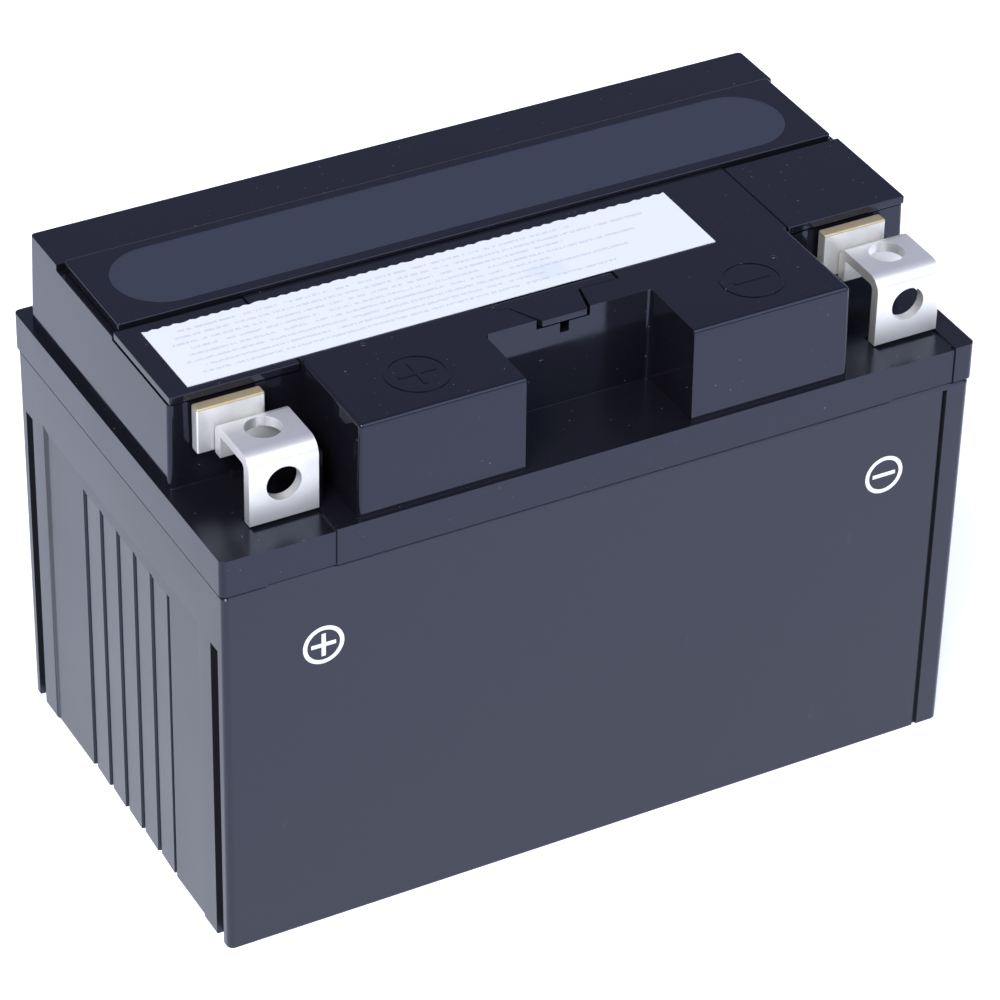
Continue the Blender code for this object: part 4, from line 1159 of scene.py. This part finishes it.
def build_terminals(metal, colours):
    """The two bent straps with their screw holes, and the risers that carry them."""
    material = tin_finish(colours)
    for side in SIDES:
        low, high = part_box(side + "_terminal")
        middle = (low.x + high.x) / 2
        strap = strap_side(metal, low, high)
        reach = metal.metal + MM
        carve(strap, [add_rod("front_hole", (middle, metal.front_hole), metal.hole_radius, low.y - MM,
                              low.y + reach, "Y"),
                      add_rod("top_hole", (middle, metal.top_hole), metal.hole_radius, high.z - reach,
                              high.z + MM)])
        soften(strap, metal.edge_round, 3, 40)
        finish_shading(strap)
        hand_over(strap, side + "_screw_strap", "battery", material, [side + "_terminal"])

        low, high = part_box(side + "_riser")
        pole = sum(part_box(side + "_pole_seal"), Vector()) / 2
        riser = add_block("riser", (low.x, low.y + metal.rear_shift, metal.riser_foot),
                          (high.x, metal.riser_rear, high.z))
        soften(riser, metal.edge_round, 3)
        half = metal.tongue_width / 2
        weld(riser, [add_block("tongue", (pole.x - half, metal.riser_rear - MM, metal.tongue_low),
                               (pole.x + half, pole.y, metal.tongue_high)),
                     add_rod("pole", pole.xy, metal.pole_radius, low.z, metal.tongue_high, sides=32)])
        finish_shading(riser)
        hand_over(riser, side + "_riser_plate", "battery", material, [side + "_riser"])


def finish_inner_parts(colours):
    """Gives every CAD node that still shows a procedural finish of its own."""
    lead = mottled_finish("cast_lead", colours.lead, 0.45, 900.0, 0.00015, 1.0)
    oxide = mottled_finish("lead_oxide_paste", colours.oxide, 0.85, 1100.0, 0.0002)
    sponge = mottled_finish("sponge_lead_paste", colours.sponge, 0.65, 1100.0, 0.0002, 0.3)
    mat = fibre_finish("glass_mat", colours.mat)
    rubber = mottled_finish("black_rubber", colours.rubber, 0.72, 2200.0, 0.00005)
    resin = mottled_finish("potting_resin", colours.resin, 0.28, 260.0, 0.0001)
    ceramic = mottled_finish("porous_ceramic", colours.ceramic, 0.80, 2600.0, 0.00025)
    kinds = (("cell_link", lead), ("positive_plates", oxide), ("negative_plates", sponge),
             ("separator", mat), ("plug_seal", rubber), ("relief_valve_cap", rubber),
             ("flame_filter", ceramic), ("positive_pole_seal", rubber), ("negative_pole_seal", rubber),
             ("positive_resin", resin), ("negative_resin", resin))
    for name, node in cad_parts.items():
        for start, material in kinds:
            if name.startswith(start):
                node.data.materials.clear()
                node.data.materials.append(material)


def floor_finish(stage):
    """White paper floor that gives back soft light."""
    work = Finish("white_floor", (0.82, 0.83, 0.86), 0.9)
    grain = work.noise(700.0, 2.0)
    across, _, _ = work.axes()
    past_end = ((CASE_LOW.x / MM - across) / (stage.glow_fade / MM)).top(0.0).low(1.0)
    half_glow = shaded(stage.glow, 0.5)
    work.drive(Normal=work.bump(grain, 0.02, 0.0001),
               Emission_Color=work.blend(past_end, (*stage.glow, 1.0), half_glow))
    work.shader.inputs["Emission Strength"].default_value = 1.0
    return work.material


def add_light(name, spot, size, power, colour):
    """A soft square light that looks at the battery's middle."""
    lamp = bpy.data.lights.new(name, "AREA")
    lamp.shape = "SQUARE"
    lamp.size = size
    lamp.energy = power
    lamp.color = colour
    holder = bpy.data.objects.new(name, lamp)
    bpy.context.scene.collection.objects.link(holder)
    holder.location = spot
    aim = Vector((0.0, 0.0, LID_LOW.z)) - Vector(spot)
    holder.rotation_euler = aim.to_track_quat("-Z", "Y").to_euler()


def build_room(stage):
    """A room that is bright near the floor and dim overhead."""
    world = bpy.data.worlds.new("studio")
    bpy.context.scene.world = world
    world.use_nodes = True
    tree = world.node_tree
    tree.nodes.clear()
    spot = tree.nodes.new("ShaderNodeTexCoord")
    parts = tree.nodes.new("ShaderNodeSeparateXYZ")
    ramp = tree.nodes.new("ShaderNodeValToRGB")
    glow = tree.nodes.new("ShaderNodeBackground")
    out = tree.nodes.new("ShaderNodeOutputWorld")
    tree.links.new(spot.outputs["Generated"], parts.inputs[0])
    tree.links.new(parts.outputs[2], ramp.inputs[0])
    tree.links.new(ramp.outputs[0], glow.inputs[0])
    tree.links.new(glow.outputs[0], out.inputs[0])
    colours = {"horizon": stage.horizon, "ceiling": stage.ceiling}
    elements = ramp.color_ramp.elements
    while len(elements) < len(ROOM_STOPS):
        elements.new(1.0)
    for element, (height, level, colour) in zip(elements, ROOM_STOPS):
        element.position = height
        element.color = (*[level * part for part in colours[colour]], 1.0)
    glow.inputs[1].default_value = 1.0


def build_camera(stage):
    """The camera, turned by its heading, pitch and roll."""
    lens = bpy.data.cameras.new("camera")
    lens.lens = stage.lens
    lens.sensor_width = SENSOR_WIDTH
    lens.clip_start = 0.01
    lens.clip_end = 50.0
    camera = bpy.data.objects.new("camera", lens)
    bpy.context.scene.collection.objects.link(camera)
    forward = Vector((math.sin(stage.heading) * math.cos(stage.pitch),
                      math.cos(stage.heading) * math.cos(stage.pitch), math.sin(stage.pitch)))
    level = Vector((math.cos(stage.heading), -math.sin(stage.heading), 0.0))
    right = Matrix.Rotation(-stage.roll, 3, forward) @ level
    above = right.cross(forward)
    turn = Matrix((right, above, -forward)).transposed().to_4x4()
    camera.matrix_world = Matrix.Translation(stage.camera_place) @ turn
    bpy.context.scene.camera = camera


def build_stage(stage):
    """The floor, the lights, the room and the camera."""
    clear_selection()
    bpy.ops.mesh.primitive_plane_add(size=2 * stage.floor_half, location=(0, 0, 0))
    floor = settle("floor")
    floor.data.materials.append(floor_finish(stage))
    add_light("key", stage.key_place, stage.key_size, stage.key_power, stage.key_colour)
    add_light("fill", stage.fill_place, stage.fill_size, stage.fill_power, stage.fill_colour)
    build_room(stage)
    build_camera(stage)
    bpy.context.scene.view_settings.view_transform = "Standard"


class BATTERY_OT_container(bpy.types.Operator):
    """Build the ribbed container"""
    bl_idname = "battery.container"
    bl_label = "Container"

    def execute(self, context):
        build_container(context.scene.battery_case, context.scene.battery_finishes)
        return {"FINISHED"}


class BATTERY_OT_printed_marks(bpy.types.Operator):
    """Print the plus and minus on the container's front"""
    bl_idname = "battery.printed_marks"
    bl_label = "Printed marks"

    def execute(self, context):
        scene = context.scene
        build_printed_marks(scene.battery_top, scene.battery_finishes, scene.battery_case)
        return {"FINISHED"}


class BATTERY_OT_lid(bpy.types.Operator):
    """Build the stepped lid with its seats, wells, ports and raised marks"""
    bl_idname = "battery.lid"
    bl_label = "Lid"

    def execute(self, context):
        scene = context.scene
        build_lid(scene.battery_lid, scene.battery_terminals, scene.battery_top, scene.battery_finishes)
        return {"FINISHED"}


class BATTERY_OT_covers(bpy.types.Operator):
    """Build the terminal well covers and the vent cover"""
    bl_idname = "battery.covers"
    bl_label = "Cover plates"

    def execute(self, context):
        scene = context.scene
        build_terminal_covers(scene.battery_top)
        build_vent_cover(scene.battery_top)
        return {"FINISHED"}


class BATTERY_OT_plug_strip(bpy.types.Operator):
    """Build the strip with its six filler plugs"""
    bl_idname = "battery.plug_strip"
    bl_label = "Plug strip"

    def execute(self, context):
        build_plug_strip(context.scene.battery_top, context.scene.battery_finishes)
        return {"FINISHED"}


class BATTERY_OT_label(bpy.types.Operator):
    """Build the paper label on the top"""
    bl_idname = "battery.label"
    bl_label = "Label"

    def execute(self, context):
        build_label(context.scene.battery_top, context.scene.battery_finishes)
        return {"FINISHED"}


class BATTERY_OT_terminals(bpy.types.Operator):
    """Build the screw straps and their risers"""
    bl_idname = "battery.terminals"
    bl_label = "Terminals"

    def execute(self, context):
        build_terminals(context.scene.battery_terminals, context.scene.battery_finishes)
        return {"FINISHED"}


class BATTERY_OT_inner_parts(bpy.types.Operator):
    """Give the plates, mats, links, seals, resin and filter their finishes"""
    bl_idname = "battery.inner_parts"
    bl_label = "Inner parts"

    def execute(self, context):
        finish_inner_parts(context.scene.battery_finishes)
        return {"FINISHED"}


class BATTERY_OT_stage(bpy.types.Operator):
    """Build the floor, the lights, the room and the camera"""
    bl_idname = "battery.stage"
    bl_label = "Stage"

    def execute(self, context):
        build_stage(context.scene.battery_stage)
        return {"FINISHED"}


GROUPS = (("battery_case", CaseSizes), ("battery_lid", LidSizes), ("battery_top", TopSizes),
          ("battery_terminals", TerminalSizes), ("battery_finishes", Finishes),
          ("battery_stage", StageSizes))
OPERATORS = (BATTERY_OT_stage, BATTERY_OT_container, BATTERY_OT_printed_marks, BATTERY_OT_lid,
             BATTERY_OT_covers, BATTERY_OT_plug_strip, BATTERY_OT_label, BATTERY_OT_terminals,
             BATTERY_OT_inner_parts)


class BATTERY_PT_sidebar(bpy.types.Panel):
    """Lists the battery's operators and its sizes"""
    bl_label = "Motorcycle Battery"
    bl_space_type = "VIEW_3D"
    bl_region_type = "UI"
    bl_category = "Battery"

    def draw(self, context):
        for operator in OPERATORS:
            self.layout.operator(operator.bl_idname)
        for name, group in GROUPS:
            box = self.layout.box()
            box.label(text=group.__doc__)
            for entry in group.__annotations__:
                box.prop(getattr(context.scene, name), entry)


def register():
    """Registers the groups, operators and panel."""
    for name, group in GROUPS:
        bpy.utils.register_class(group)
        setattr(bpy.types.Scene, name, PointerProperty(type=group))
    for operator in OPERATORS:
        bpy.utils.register_class(operator)
    bpy.utils.register_class(BATTERY_PT_sidebar)


def unregister():
    """Removes them again."""
    bpy.utils.unregister_class(BATTERY_PT_sidebar)
    for operator in reversed(OPERATORS):
        bpy.utils.unregister_class(operator)
    for name, group in reversed(GROUPS):
        delattr(bpy.types.Scene, name)
        bpy.utils.unregister_class(group)


def main():
    """Builds everything in order."""
    register()
    bpy.ops.battery.stage()
    bpy.ops.battery.container()
    bpy.ops.battery.printed_marks()
    bpy.ops.battery.lid()
    bpy.ops.battery.covers()
    bpy.ops.battery.plug_strip()
    bpy.ops.battery.label()
    bpy.ops.battery.terminals()
    bpy.ops.battery.inner_parts()
    clear_selection()


if __name__ == "__main__":
    main()
